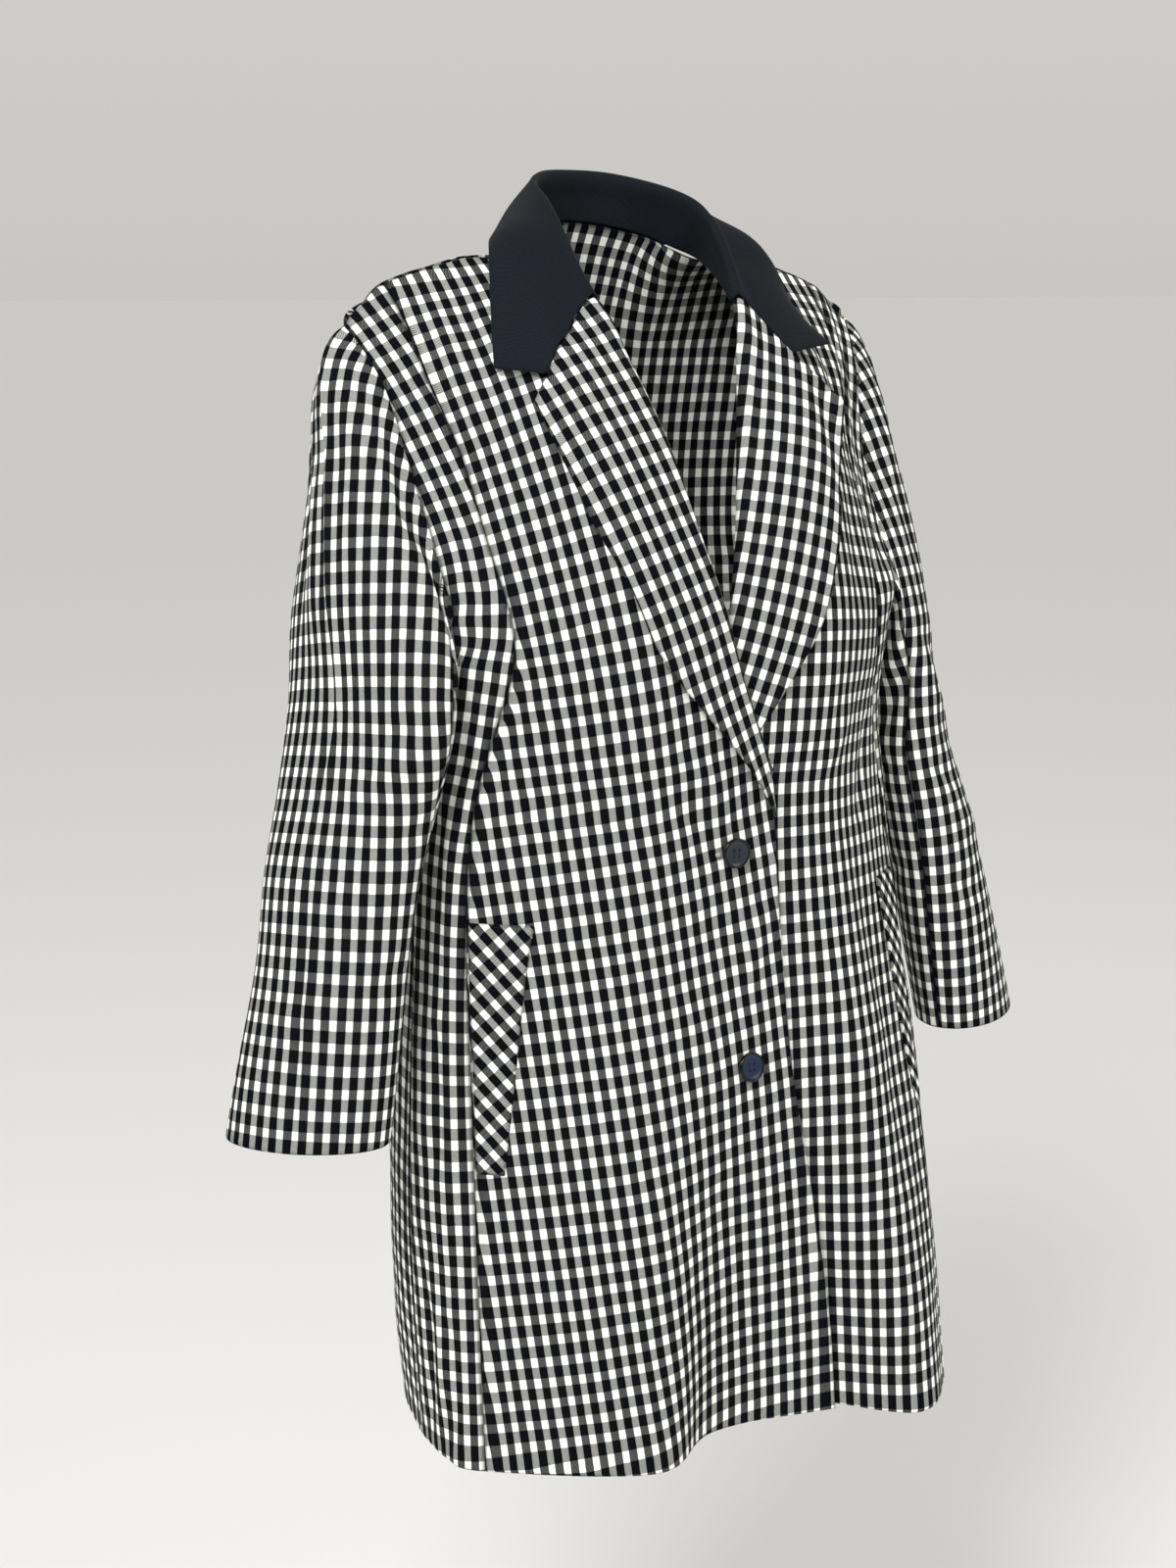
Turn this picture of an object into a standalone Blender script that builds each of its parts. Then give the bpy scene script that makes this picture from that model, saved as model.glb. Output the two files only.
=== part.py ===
"""Checked coat, worn open at the neck and buttoned, as hollow walls of cloth.

Metres, +Z up. The garment faces -Y and the wearer's right side is at -X. The origin is on the
neck's axis, level with the two high points of the shoulder seams.
"""
import math

import bmesh
import bpy
import numpy as np
from mathutils import Matrix, Vector

# ---- driving sizes ---------------------------------------------------------------------------
WALL = 0.002                 # cloth of the panels and sleeves
COLLAR_WALL = 0.0024         # two layers of plain cloth
COLLAR_ROLL = 0.0026         # radius of the fold
COLLAR_PAST = COLLAR_WALL / 2 + 0.0003   # from the neckline's edge to the middle of the stand
COLLAR_FALL_ROWS = 7
GORGE_GAP = 0.0006           # drawn back on each side of the slanting gorge seam
COLLAR_BELLY = (0.008, 0.004)    # the fall stands this far out and up from a straight line
SEAM_GAP = 0.0003            # between two pieces that are sewn together
ROWS_PER_LEVEL = 2           # mesh rows between two levels of the tables
COLUMNS_PER_LINE = 2         # mesh columns between two lines of the tables

WELT_THICKNESS = 0.0022
WELT_LIFT = 0.0004           # clear of the panel below it
LAPEL_ROLL = 0.0045          # how far the rolled edge stands past the roll line
LAPEL_TURN_FACE = 0.0025     # and how far it has come out of the panel's face there
LAPEL_BACK = 0.001           # past the roll line again, when it comes over the panel
LAPEL_SEGMENTS = 6
LAPEL_LIFT = 0.0055          # the lapel over the panel, to the middle of its cloth

BODY_CENTRE = (0, -0.035, 0)

BUTTON_DIAMETER = 0.022
BUTTON_THICKNESS = 0.0042
BUTTON_RIM = 0.0026          # width of the raised rim
BUTTON_DISH = 0.0009         # depth of the dished face
BUTTON_HOLE_DIAMETER = 0.0022
BUTTON_HOLE_SPREAD = 0.0021  # from the centre to a hole, along X and along Y
BUTTON_LIFT = 0.0012         # thread shank between the cloth and the button

# The panels' lines in mm, one row a level from the hem up. A front's "edge" is its free edge up to
# the waist and the roll line of the lapel above it; its "side" is the side seam, then the armhole.
FRONT_LINES = ("edge", "centre", "middle", "princess", "flank", "side")
BACK_LINES = ("flank", "blade", "neck", "nape", "centre")
RIGHT_FRONT_ROWS = {  # edge, centre, middle, princess, flank, side
    "hem": [(88, -184, -865), (-12, -168, -865), (-85, -199, -865), (-190, -132, -865),
            (-205, -100, -865), (-203, -55, -865)],
    "low": [(76, -187, -770), (-12, -175, -770), (-90, -192, -770), (-188, -122, -770), (-206, -95, -770),
            (-208, -56, -770)],
    "thigh": [(60, -186, -680), (-12, -180, -680), (-95, -185, -680), (-186, -113, -680),
              (-206, -91, -680), (-211, -57, -680)],
    "hip": [(42, -183, -580), (-12, -182, -580), (-100, -176, -580), (-184, -105, -580),
            (-202, -88, -580), (-208, -56, -580)],
    "pocket": [(34, -176, -470), (-18, -176, -470), (-98, -164, -470), (-183, -98, -470),
               (-195, -79, -470), (-200, -48, -470)],
    "waist": [(30, -171, -388), (-20, -172, -388), (-90, -160, -388), (-178, -100, -388),
              (-191, -74, -388), (-197, -38, -388)],
    "under": [(10, -174, -335), (-35, -175, -335), (-88, -166, -335), (-168, -108, -335),
              (-192, -77, -335), (-200, -28, -335)],
    "bust": [(-7, -173, -288), (-45, -176, -287), (-90, -170, -287), (-158, -122, -284),
             (-193, -85, -287), (-205, -15, -292)],
    "scye": [(-19, -170, -245), (-50, -173, -245), (-93, -166, -245), (-157, -121, -245),
             (-178, -111, -249), (-192, -96, -252)],
    "chest": [(-32, -156, -190), (-60, -158, -190), (-98, -150, -190), (-161, -92, -190),
              (-179, -87, -198), (-192, -79, -205)],
    "upper": [(-44, -133, -130), (-69, -133, -131), (-102, -125, -133), (-164, -64, -137),
              (-182, -58, -143), (-196, -52, -150)],
    "yoke": [(-55, -98, -72), (-78, -97, -76), (-109, -88, -79), (-177, -41, -87), (-191, -35, -90),
             (-204.5, -31, -93.5)],
    "gorge": [(-60.5, -66, -33), (-85, -58, -37), (-117, -44, -38), (-181, -18, -50), (-197, -13, -55),
              (-213, -11, -63)],
    "shoulder": [(-73, 0, 0), (-95, 3, -2), (-125, 7, 0), (-185, 9, -18), (-202, 9, -31),
                 (-219, 7, -47)],
}
LEFT_FRONT_ROWS = {  # edge, centre, middle, princess, flank, side
    "hem": [(0, -152, -865), (70, -158, -865), (138, -222, -865), (190, -190, -865), (222, -130, -865),
            (226, -50, -865)],
    "low": [(-8, -160, -770), (60, -165, -770), (131, -211, -770), (189, -175, -770), (219, -118, -770),
            (222, -52, -770)],
    "thigh": [(-15, -167, -680), (46, -171, -680), (121, -199, -680), (187, -160, -680),
              (215, -108, -680), (218, -56, -680)],
    "hip": [(-22, -169, -580), (40, -174, -580), (111, -186, -580), (183, -140, -580), (212, -98, -580),
            (212, -56, -580)],
    "pocket": [(-27, -163, -470), (30, -167, -470), (102, -168, -470), (180, -118, -470),
               (199, -83, -470), (202, -48, -470)],
    "waist": [(-30, -159, -388), (28, -162, -388), (94, -158, -388), (175, -106, -388), (193, -76, -388),
              (197, -38, -388)],
    "under": [(-18, -157, -337), (32, -163, -335), (90, -162, -335), (167, -108, -335), (193, -78, -335),
              (200, -28, -335)],
    "bust": [(-2, -154, -289), (40, -164, -287), (91, -164, -287), (160, -120, -284), (193, -85, -287),
             (205, -15, -292)],
    "scye": [(12, -146, -247), (49, -160, -245), (94, -160, -245), (158, -121, -245), (178, -111, -249),
             (192, -96, -252)],
    "chest": [(29, -128, -190), (60, -145, -190), (98, -144, -190), (161, -99, -190), (179, -87, -198),
              (192, -79, -205)],
    "upper": [(43, -108, -130), (69, -120, -131), (103, -120, -133), (164, -73, -137), (182, -58, -143),
              (196, -52, -150)],
    "yoke": [(53, -88, -75), (78, -88, -76), (108, -85, -80), (177, -47, -88), (191, -35, -90),
             (204.5, -31, -93.5)],
    "gorge": [(60.5, -67, -33), (85, -56, -37), (113, -45, -42), (181, -21, -50), (197, -13, -55),
              (213, -11, -63)],
    "shoulder": [(73, 0, 0), (95, 3, -2), (125, 7, 0), (185, 9, -18), (202, 9, -31), (219, 7, -47)],
}
BACK_ROWS = {  # flank, blade, neck, nape, centre
    "hem": [(-182, 12, -865), (-135, 77, -865), (-72, 103, -865), (-36, 106, -865), (0, 107, -865)],
    "low": [(-189, 13, -770), (-138, 78, -770), (-72, 102, -770), (-36, 105, -770), (0, 106, -770)],
    "thigh": [(-192, 13, -680), (-139, 78, -680), (-72, 100, -680), (-36, 103, -680), (0, 104, -680)],
    "hip": [(-191, 14, -580), (-138, 77, -580), (-72, 97, -580), (-36, 100, -580), (0, 101, -580)],
    "pocket": [(-187, 20, -470), (-138, 75, -470), (-70, 91, -470), (-35, 94, -470), (0, 95, -470)],
    "waist": [(-186, 27, -388), (-134, 72, -388), (-68, 87, -388), (-34, 89, -388), (0, 90, -388)],
    "under": [(-188, 36, -335), (-133, 77, -335), (-68, 90, -335), (-34, 92, -335), (0, 92, -335)],
    "bust": [(-190, 50, -289), (-132, 88, -287), (-68, 97, -285), (-34, 98, -285), (0, 98, -285)],
    "scye": [(-181, 82, -250), (-131, 98, -248), (-68, 103, -243), (-34, 104, -242), (0, 104, -242)],
    "chest": [(-177, 91, -198), (-131, 101, -194), (-69, 106, -186), (-35, 107, -184), (0, 108, -183)],
    "upper": [(-178, 83, -147), (-133, 92, -138), (-71, 100, -122), (-37, 104, -118), (0, 106, -117)],
    "yoke": [(-183, 58, -88), (-139, 67, -72), (-74, 79, -62), (-41, 90, -53), (0, 95, -50)],
    "gorge": [(-193, 30, -49), (-143, 37, -24), (-75, 44, -21), (-46, 68, -8), (0, 81, -2)],
    "shoulder": [(-202, 9, -31), (-125, 7, 0), (-73, 0, 0), (-50, 46, 17), (0, 67, 26)],
}
ARMHOLE = [(-197, 62, -256), (-193, 78, -205), (-196, 70, -150), (-203, 51, -94), (-212, 27, -60),
           (-219, 7, -47)]             # the back's edge at the right sleeve, above the bust
LEVELS = tuple(RIGHT_FRONT_ROWS)
UNDERARM = LEVELS.index("bust")      # the lowest point of the armhole
BREAK = LEVELS.index("waist")
GORGE = LEVELS.index("gorge")

# Each sleeve's sections from the armpit down, as on the right side: the centre, the half sizes
# outwards and forwards in mm, and how far the outward axis turns to the front and tips up in
# degrees. The right arm is held further forward at its top.
SLEEVE_COLUMNS = ("x", "y", "z", "out", "fore", "turn", "tip")
FOREARM = [(-257, -54, -425, 38, 60, 30, 8),
           (-269, -62.5, -480, 37.8, 57, 36, 6),
           (-283, -68, -545, 38, 58, 43, 5),
           (-296.5, -71.5, -608, 38.6, 59.5, 48, 4)]
SLEEVE = {"right": [(-232.5, -51, -319, 35, 81, 13, 31.3), (-243, -48, -375, 37, 67, 22, 12), *FOREARM],
          "left": [(-236.5, -29, -319, 35, 70, 12, 31.3), (-244, -41, -375, 37, 64, 22, 12), *FOREARM]}
SLEEVE_START = 0.008         # first ring, out of the armhole
LEAVE_TOP = np.array((-.8, 0, -.6))      # the ways it leaves: at the shoulder's end,
LEAVE_LOW = np.array((-.25, 0, -1))      # under the arm,
LEAVE_FRONT = np.array((0, -.35, 0))     # and more at the front, less at the back
HEAD_RINGS = (0.36, 0.68)    # rings between that and the first section, as shares of the way
HEAD_BULGE = {"outer": .009, "front": .005, "back": .012}   # how far they stand off a straight line
FRONT_SEAM_TURN = 108        # round the sleeve from its outer line, degrees
BACK_SEAM_TURN = 236

# The collar from beside the right gorge to the centre back: its fold and its outer edge. A
# station is one vertex of the neckline; the first is the gorge itself.
COLLAR_STATIONS = (0, 1, 2, 3, 4, 6)
COLLAR = {
    "fold": [(-.067, -.054, -.007), (-.068, -.033, .019), (-.065, -.009, .038),
             (-.049, .036, .053), (.000, .063, .061)],
    "edge": [(-.130, -.0455, -.038), (-.117, -.020, .003), (-.089, .028, .011),
             (-.056, .070, .005), (.000, .092, -.001)],
}
COLLAR_CORNER = {"right": (-.143, -.0735, -.0775), "left": (.144, -.074, -.064)}
NOTCH = {"right": (-.112, -.0925, -.080), "left": (.098, -.090, -.069)}
# Outer edge of each lapel, from the peak down to the break.
LAPEL_EDGE = {
    "right": [(-.1255, -.098, -.098), (-.107, -.1395, -.171), (-.088, -.165, -.225), (-.068, -.181, -.276),
              (-.004, -.184, -.350), (.026, -.179, -.392)],
    "left": [(.131, -.110, -.104), (.104, -.140, -.180), (.085, -.154, -.225), (.062, -.165, -.272),
             (.010, -.166, -.345), (-.026, -.164, -.392)],
}

# Welt of each pocket: front and side edges as (line, level) places on the front panel, where
# line 2 is the middle line and line 3 the princess seam.
WELT = {"top": 4.10, "bottom": 2.38, "front_top": 2.51, "front_bottom": 2.75, "side": 2.965}
WELT_ROWS = 8
WELT_COLUMNS = 3
BUTTONS = {"button_upper": (0.80, 4.62), "button_lower": (0.77, 3.05)}   # (line, level) on the right front

# ---- colours: (linear RGB, roughness) ---------------------------------------------------------
CHECK_CLOTH = ((.33, .33, .33), .85)
COLLAR_CLOTH = ((.012, .017, .027), .80)
BUTTON_PLASTIC = ((.010, .014, .026), .25)


# ---- curves and surfaces ----------------------------------------------------------------------
def spline(points, at, knots=None):
    """Values at `at` of the smooth curve through points, one knot each."""
    points = np.asarray(points, float)
    knots = np.arange(len(points), dtype=float) if knots is None else np.asarray(knots, float)
    at = np.asarray(at, float)
    span = np.diff(knots)
    step = np.diff(points, axis=0) / span[:, None]
    slope = np.empty_like(points)
    slope[1:-1] = (step[:-1] * span[1:, None] + step[1:] * span[:-1, None]) / (span[1:] + span[:-1])[:, None]
    slope[0] = 1.5 * step[0] - 0.5 * slope[1] if len(points) > 2 else step[0]
    slope[-1] = 1.5 * step[-1] - 0.5 * slope[-2] if len(points) > 2 else step[-1]
    i = np.clip(np.searchsorted(knots, at, side="right") - 1, 0, len(points) - 2)
    h = span[i][:, None]
    t = (at[:, None] - knots[i][:, None]) / h
    return ((2 * t**3 - 3 * t**2 + 1) * points[i] + (t**3 - 2 * t**2 + t) * h * slope[i]
            + (3 * t**2 - 2 * t**3) * points[i + 1] + (t**3 - t**2) * h * slope[i + 1])


def mirrored(points):
    return np.asarray(points, float) * (-1, 1, 1)


def unit(vectors):
    vectors = np.asarray(vectors, float)
    return vectors / np.maximum(np.linalg.norm(vectors, axis=-1, keepdims=True), 1e-12)


def tangents(grid, axis, around=False):
    """Directions along one axis of a grid, with both sides of a vertex counted alike."""
    if around:
        step = unit(np.roll(grid, -1, axis=axis) - grid)
        return step + np.roll(step, 1, axis=axis)
    step = unit(np.diff(grid, axis=axis))
    first, last = np.take(step, [0], axis), np.take(step, [-1], axis)
    return np.concatenate([first, step], axis) + np.concatenate([step, last], axis)


def grid_normals(grid, around=False):
    """Unit normals of a grid of points; rows x columns gives the side they point to."""
    return unit(np.cross(tangents(grid, 1, around), tangents(grid, 0)))


def line_points(line, rows, corner):
    """A table line sampled at rows; it may turn a corner at the armhole's lowest point."""
    if not corner:
        return spline(line, rows)
    low = rows[rows <= UNDERARM]
    high = rows[rows > UNDERARM]
    return np.vstack([spline(line[:UNDERARM + 1], low), spline(line[UNDERARM:], high - UNDERARM)])


def table_lines(names, rows):
    """A table's lines by name, one point a level, in metres."""
    return {name: [tuple(np.array(rows[level][k]) / 1000) for level in LEVELS]
            for k, name in enumerate(names)}


def surface(lines, rows, columns):
    """The panel's surface through its lines; the last line may turn a corner."""
    sampled = [line_points(line, rows, name == "side") for name, line in lines.items()]
    knots = np.arange(len(sampled), dtype=float)
    return np.stack([spline([line[i] for line in sampled], columns, knots) for i in range(len(rows))])


# ---- meshes -----------------------------------------------------------------------------------
def material(name, look):
    found = bpy.data.materials.get(name)
    if found:
        return found
    colour, roughness = look
    made = bpy.data.materials.new(name)
    made.use_nodes = True
    shader = made.node_tree.nodes["Principled BSDF"]
    shader.inputs["Base Color"].default_value = (*colour, 1.0)
    shader.inputs["Roughness"].default_value = roughness
    shader.inputs["Metallic"].default_value = 0.0
    made.diffuse_color = (*colour, 1.0)
    return made


def finish_mesh(mesh_object, look):
    mesh_object.data.shade_smooth()
    mesh_object.data.set_sharp_from_angle(angle=math.radians(40))
    mesh_object.data.materials.append(material(*look))
    coat.objects.link(mesh_object)
    return mesh_object


def wall(name, outer, inner, look):
    """A wall of cloth between two grids of points, closed along its four edges."""
    rows, columns = outer.shape[:2]
    build = bmesh.new()
    face = [[build.verts.new(p) for p in row] for row in outer]
    back = [[build.verts.new(p) for p in row] for row in inner]
    for r in range(rows - 1):
        for c in range(columns - 1):
            build.faces.new((face[r][c], face[r][c + 1], face[r + 1][c + 1], face[r + 1][c]))
            build.faces.new((back[r][c], back[r + 1][c], back[r + 1][c + 1], back[r][c + 1]))
        build.faces.new((face[r][0], face[r + 1][0], back[r + 1][0], back[r][0]))
        build.faces.new((face[r][-1], back[r][-1], back[r + 1][-1], face[r + 1][-1]))
    for c in range(columns - 1):
        build.faces.new((face[0][c], back[0][c], back[0][c + 1], face[0][c + 1]))
        build.faces.new((face[-1][c], face[-1][c + 1], back[-1][c + 1], back[-1][c]))
    bmesh.ops.triangulate(build, faces=build.faces, quad_method='FIXED')
    bmesh.ops.recalc_face_normals(build, faces=build.faces)
    if build.calc_volume(signed=True) < 0:
        bmesh.ops.reverse_faces(build, faces=build.faces)
    mesh = bpy.data.meshes.new(name)
    build.to_mesh(mesh)
    build.free()
    return finish_mesh(bpy.data.objects.new(name, mesh), look)


def parted(outer, inner, first=False, last=False):
    """Both grids with their end columns drawn in by half the seam's gap."""
    outer, inner = outer.copy(), inner.copy()
    for grid in (outer, inner):
        if first:
            grid[:, 0] += unit(grid[:, 1] - grid[:, 0]) * SEAM_GAP / 2
        if last:
            grid[:, -1] += unit(grid[:, -2] - grid[:, -1]) * SEAM_GAP / 2
    return outer, inner


# ---- body -------------------------------------------------------------------------------------
FRONT = {"right": table_lines(FRONT_LINES, RIGHT_FRONT_ROWS),
         "left": table_lines(FRONT_LINES, LEFT_FRONT_ROWS)}
BACK = table_lines(BACK_LINES, BACK_ROWS)
# points all over each front above the hip, for what lies on it
COVERED = {side: surface(lines, np.linspace(4, 13, 91), np.linspace(0, 4, 49)).reshape(-1, 3)
           for side, lines in FRONT.items()}
GORGE_ROW = GORGE * ROWS_PER_LEVEL
NECK_COLUMN = 5 * COLUMNS_PER_LINE      # the back's column at the neck end of a shoulder seam
ROWS = np.linspace(0, len(LEVELS) - 1, (len(LEVELS) - 1) * ROWS_PER_LEVEL + 1)


def shoulder_normals(points):
    """Across the shoulder seam both panels use the same direction, up and square to the seam."""
    along = unit(np.gradient(points, axis=0))
    across = unit(np.cross(along, (0, 1, 0)))
    return across * np.where(across[:, 2:] < 0, -1, 1)


def body_surfaces():
    """Outer points and outward normals of the right front, left front and back."""
    columns = np.linspace(0, 5, 5 * COLUMNS_PER_LINE + 1)
    right = surface(FRONT["right"], ROWS, columns)
    left = surface(FRONT["left"], ROWS, columns)
    armhole = np.array(ARMHOLE) / 1000
    sides = {"right": np.vstack([FRONT["right"]["side"][:UNDERARM + 1], armhole]),
             "left": np.vstack([FRONT["left"]["side"][:UNDERARM + 1], mirrored(armhole)])}
    lines = {"side": sides["right"]}
    lines.update({name: BACK[name] for name in ("flank", "blade", "neck", "nape", "centre")})
    lines.update({name + " left": mirrored(BACK[name]) for name in ("nape", "neck", "blade", "flank")})
    lines["left side"] = sides["left"]
    sampled = [line_points(line, ROWS, "side" in name) for name, line in lines.items()]
    shoulder = np.linspace(0, 3, NECK_COLUMN + 1)
    nape = np.linspace(3, 7, 4 * COLUMNS_PER_LINE + 1)
    columns = np.concatenate([shoulder, nape[1:-1], 10 - shoulder[::-1]])
    back = np.stack([spline([line[i] for line in sampled], columns) for i in range(len(ROWS))])
    return right, left, back


def match_shoulders(right, left, back):
    """Give the back's half of each shoulder seam the front's own points, the other way round."""
    back[-1, :NECK_COLUMN + 1] = right[-1, ::-1]
    back[-1, -NECK_COLUMN - 1:] = left[-1]


def body_normals(right, left, back):
    n_right = -grid_normals(right)
    n_left = grid_normals(left)
    n_back = -grid_normals(back)
    for normals, grid in ((n_right, right), (n_left, left), (n_back, back)):
        outward = unit((grid - BODY_CENTRE) * (1, 1, 0))
        if (normals * outward)[ROWS < UNDERARM].sum() < 0:
            normals *= -1
    below = ROWS <= UNDERARM
    for front, column in ((n_right, 0), (n_left, -1)):
        shared = unit(front[below, -1] + n_back[below, column])
        front[below, -1] = shared
        n_back[below, column] = shared
    n_right[-1] = shoulder_normals(right[-1])
    n_left[-1] = shoulder_normals(left[-1])
    n_back[-1, :NECK_COLUMN + 1] = n_right[-1, ::-1]
    n_back[-1, -NECK_COLUMN - 1:] = n_left[-1]
    return n_right, n_left, n_back


def build_body():
    right, left, back = body_surfaces()
    match_shoulders(right, left, back)
    n_right, n_left, n_back = body_normals(right, left, back)
    right[-1, :, 1] -= SEAM_GAP / 2
    left[-1, :, 1] -= SEAM_GAP / 2
    back[-1, :NECK_COLUMN + 1, 1] += SEAM_GAP / 2
    back[-1, -NECK_COLUMN - 1:, 1] += SEAM_GAP / 2
    princess = 3 * COLUMNS_PER_LINE
    for side, grid, normals in (("right", right, n_right), ("left", left, n_left)):
        inner = grid - normals * WALL
        front = parted(grid[:, :princess + 1], inner[:, :princess + 1], last=True)
        flank = parted(grid[:, princess:], inner[:, princess:], first=True, last=True)
        wall("front_" + side, *front, ("check cloth", CHECK_CLOTH))
        wall("side_front_" + side, *flank, ("check cloth", CHECK_CLOTH))
    wall("back", *parted(back, back - n_back * WALL, first=True, last=True), ("check cloth", CHECK_CLOTH))
    return (right, n_right), (left, n_left), (back, n_back)


# ---- sleeves ----------------------------------------------------------------------------------
def sleeve_rings(armhole, table):
    """Rings down a sleeve as on the right side, from the armhole's points to the cuff."""
    length = np.linalg.norm(np.roll(armhole, -1, axis=0) - armhole, axis=1)
    half = len(armhole) // 2
    front = np.concatenate([[0], np.cumsum(length[:half])]) / length[:half].sum()
    back = np.concatenate([[0], np.cumsum(length[half:])]) / length[half:].sum()
    angle = math.pi * np.concatenate([front[:-1], 1 + back[:-1]])
    cosine, sine = np.cos(angle)[:, None], np.sin(angle)[:, None]
    sections = []
    for section in table:
        s = dict(zip(SLEEVE_COLUMNS, section))
        turn, tip = math.radians(s["turn"]), math.radians(s["tip"])
        out = np.array((-math.cos(turn) * math.cos(tip), -math.sin(turn) * math.cos(tip), math.sin(tip)))
        fore = np.array((math.sin(turn), -math.cos(turn), 0))
        centre = np.array((s["x"], s["y"], s["z"]))
        sections.append((centre + cosine * s["out"] * out + sine * s["fore"] * fore) / 1000)
    upper = (1 + cosine) / 2
    leave = unit(upper * LEAVE_TOP + (1 - upper) * LEAVE_LOW + sine * LEAVE_FRONT)
    low = np.clip(-cosine, 0, 1)
    start = armhole + leave * SLEEVE_START
    head = []
    for share in HEAD_RINGS:
        straight = start + (sections[0] - start) * share
        away = unit((straight - straight.mean(axis=0)) * (1, 1, 0))
        bulge = (HEAD_BULGE["outer"] * upper + HEAD_BULGE["front"] * np.clip(sine, 0, 1)
                 + HEAD_BULGE["back"] * np.clip(-sine, 0, 1))
        head.append(straight + away * bulge * math.sin(math.pi * share))
    return [armhole + low * (0, 0, SEAM_GAP) - (SEAM_GAP, 0, 0), start, *head, *sections], angle


def row_places(column):
    """The rows on a column of ring points, and the rings' own places, as lengths along it."""
    knots = np.concatenate([[0], np.cumsum(np.linalg.norm(np.diff(column, axis=0), axis=1))])
    rows = np.linspace(0, len(column) - 1, (len(column) - 1) * ROWS_PER_LEVEL + 1)
    return np.interp(rows, np.arange(len(column)), knots), knots


def build_sleeve(side, front, back, column):
    flip = (1, 1, 1) if side == "right" else (-1, 1, 1)
    start = UNDERARM * ROWS_PER_LEVEL
    front_points, front_normals = (front[0][start:, -1] * flip, front[1][start:, -1] * flip)
    back_points, back_normals = (back[0][start:, column] * flip, back[1][start:, column] * flip)
    armhole = np.vstack([front_points[::-1], back_points[1:-1]])
    direction = np.vstack([front_normals[::-1], back_normals[1:-1]])
    rings, angle = sleeve_rings(armhole, SLEEVE[side])
    columns = np.stack(rings, axis=1)
    outer = np.stack([spline(column, *row_places(column)) for column in columns], axis=1)
    normals = grid_normals(outer, around=True)
    centre = outer.mean(axis=1, keepdims=True)
    if (normals * (outer - centre)).sum() < 0:
        normals *= -1
    for _ in range(2):
        normals[1:-1] = unit(normals[:-2] + 2 * normals[1:-1] + normals[2:])
        normals = unit(np.roll(normals, 1, axis=1) + 2 * normals + np.roll(normals, -1, axis=1))
    low = np.clip(-np.cos(angle), 0, 1)[:, None]
    normals[0] = unit(direction * (1 - low) + normals[0] * low)
    inner = outer - normals * WALL
    front_seam = int(np.argmin(abs(angle - math.radians(FRONT_SEAM_TURN))))
    back_seam = int(np.argmin(abs(angle - math.radians(BACK_SEAM_TURN))))
    count = len(armhole)
    top = [c % count for c in range(back_seam, count + front_seam + 1)]
    under = list(range(front_seam, back_seam + 1))
    for name, columns in (("top_sleeve_", top), ("under_sleeve_", under)):
        pieces = parted(outer[:, columns] * flip, inner[:, columns] * flip, first=True, last=True)
        wall(name + side, *pieces, ("check cloth", CHECK_CLOTH))


# ---- collar, lapels, welts and buttons ----------------------------------------------------------
def over_panel(side, x, z, lift):
    """The point straight out of a front panel at (x, z), lifted off its outer face."""
    points = COVERED[side]
    near = np.argsort((points[:, 0] - x) ** 2 + (points[:, 2] - z) ** 2)[:10]
    flat = np.column_stack([np.ones(len(near)), points[near][:, 0] - x, points[near][:, 2] - z])
    height, slope_x, slope_z = np.linalg.lstsq(flat, points[near][:, 1], rcond=None)[0]
    normal = unit(np.array((slope_x, -1.0, slope_z)))
    return np.array((x, height, z)) + normal * lift


def cover(side, start, end, count):
    """Points over a panel from start to end, held off it and easing out to the end."""
    points = []
    for f in np.linspace(0, 1, count + 1)[1:]:
        straight = start + (end - start) * f
        clear = over_panel(side, straight[0], straight[2], LAPEL_LIFT)
        keep = (1 - f) * min(1, 4 * f) if straight[1] < clear[1] else 1
        points.append(clear * keep + straight * (1 - keep))
    return points


def roll_line(panel):
    """The roll line's points, and the directions out of the cloth and past its edge."""
    grid, normals = panel
    rows = slice(BREAK * ROWS_PER_LEVEL + 1, GORGE_ROW + 1)
    return grid[rows, 0], normals[rows, 0], unit(grid[rows, 0] - grid[rows, 1])


def gorge_top(panel):
    """Where the gorge seam meets the rolled edge."""
    roll, face, past = roll_line(panel)
    return roll[-1] + past[-1] * LAPEL_BACK + face[-1] * (LAPEL_ROLL + LAPEL_BACK)


def gorge_seam(side, panel, corner, rows):
    """Points from the rolled edge along the gorge to the notch, then out to the corner."""
    notch = np.array(NOTCH[side])
    first = rows * 2 // 3
    along = cover(side, gorge_top(panel), notch, first)
    out = [notch + (np.asarray(corner) - notch) * i / (rows - first) for i in range(1, rows - first + 1)]
    return along + out


def collar_feet(right, left, back):
    """The foot of the stand at each vertex of the neckline, just past the panels' edges."""
    feet = []
    for grid, normals in (right, left):
        past = unit(grid[GORGE_ROW:, 0] - grid[GORGE_ROW:, 1])
        feet.append(grid[GORGE_ROW:, 0] - normals[GORGE_ROW:, 0] * WALL / 2 + past * COLLAR_PAST)
    grid, normals = back
    nape = slice(NECK_COLUMN + 1, -NECK_COLUMN - 1)
    past = unit(grid[-1, nape] - grid[-2, nape])
    feet.insert(1, grid[-1, nape] - normals[-1, nape] * WALL / 2 + past * COLLAR_PAST)
    feet[2] = feet[2][::-1]
    return np.vstack(feet)


def collar_line(gorge_right, points, gorge_left, stations):
    """A smooth line round the collar, from the right gorge to the left one."""
    knots = np.concatenate([COLLAR_STATIONS, stations[-1] - np.array(COLLAR_STATIONS[-2::-1])])
    return spline([gorge_right, *points, *mirrored(points)[-2::-1], gorge_left], stations, knots)


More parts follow.
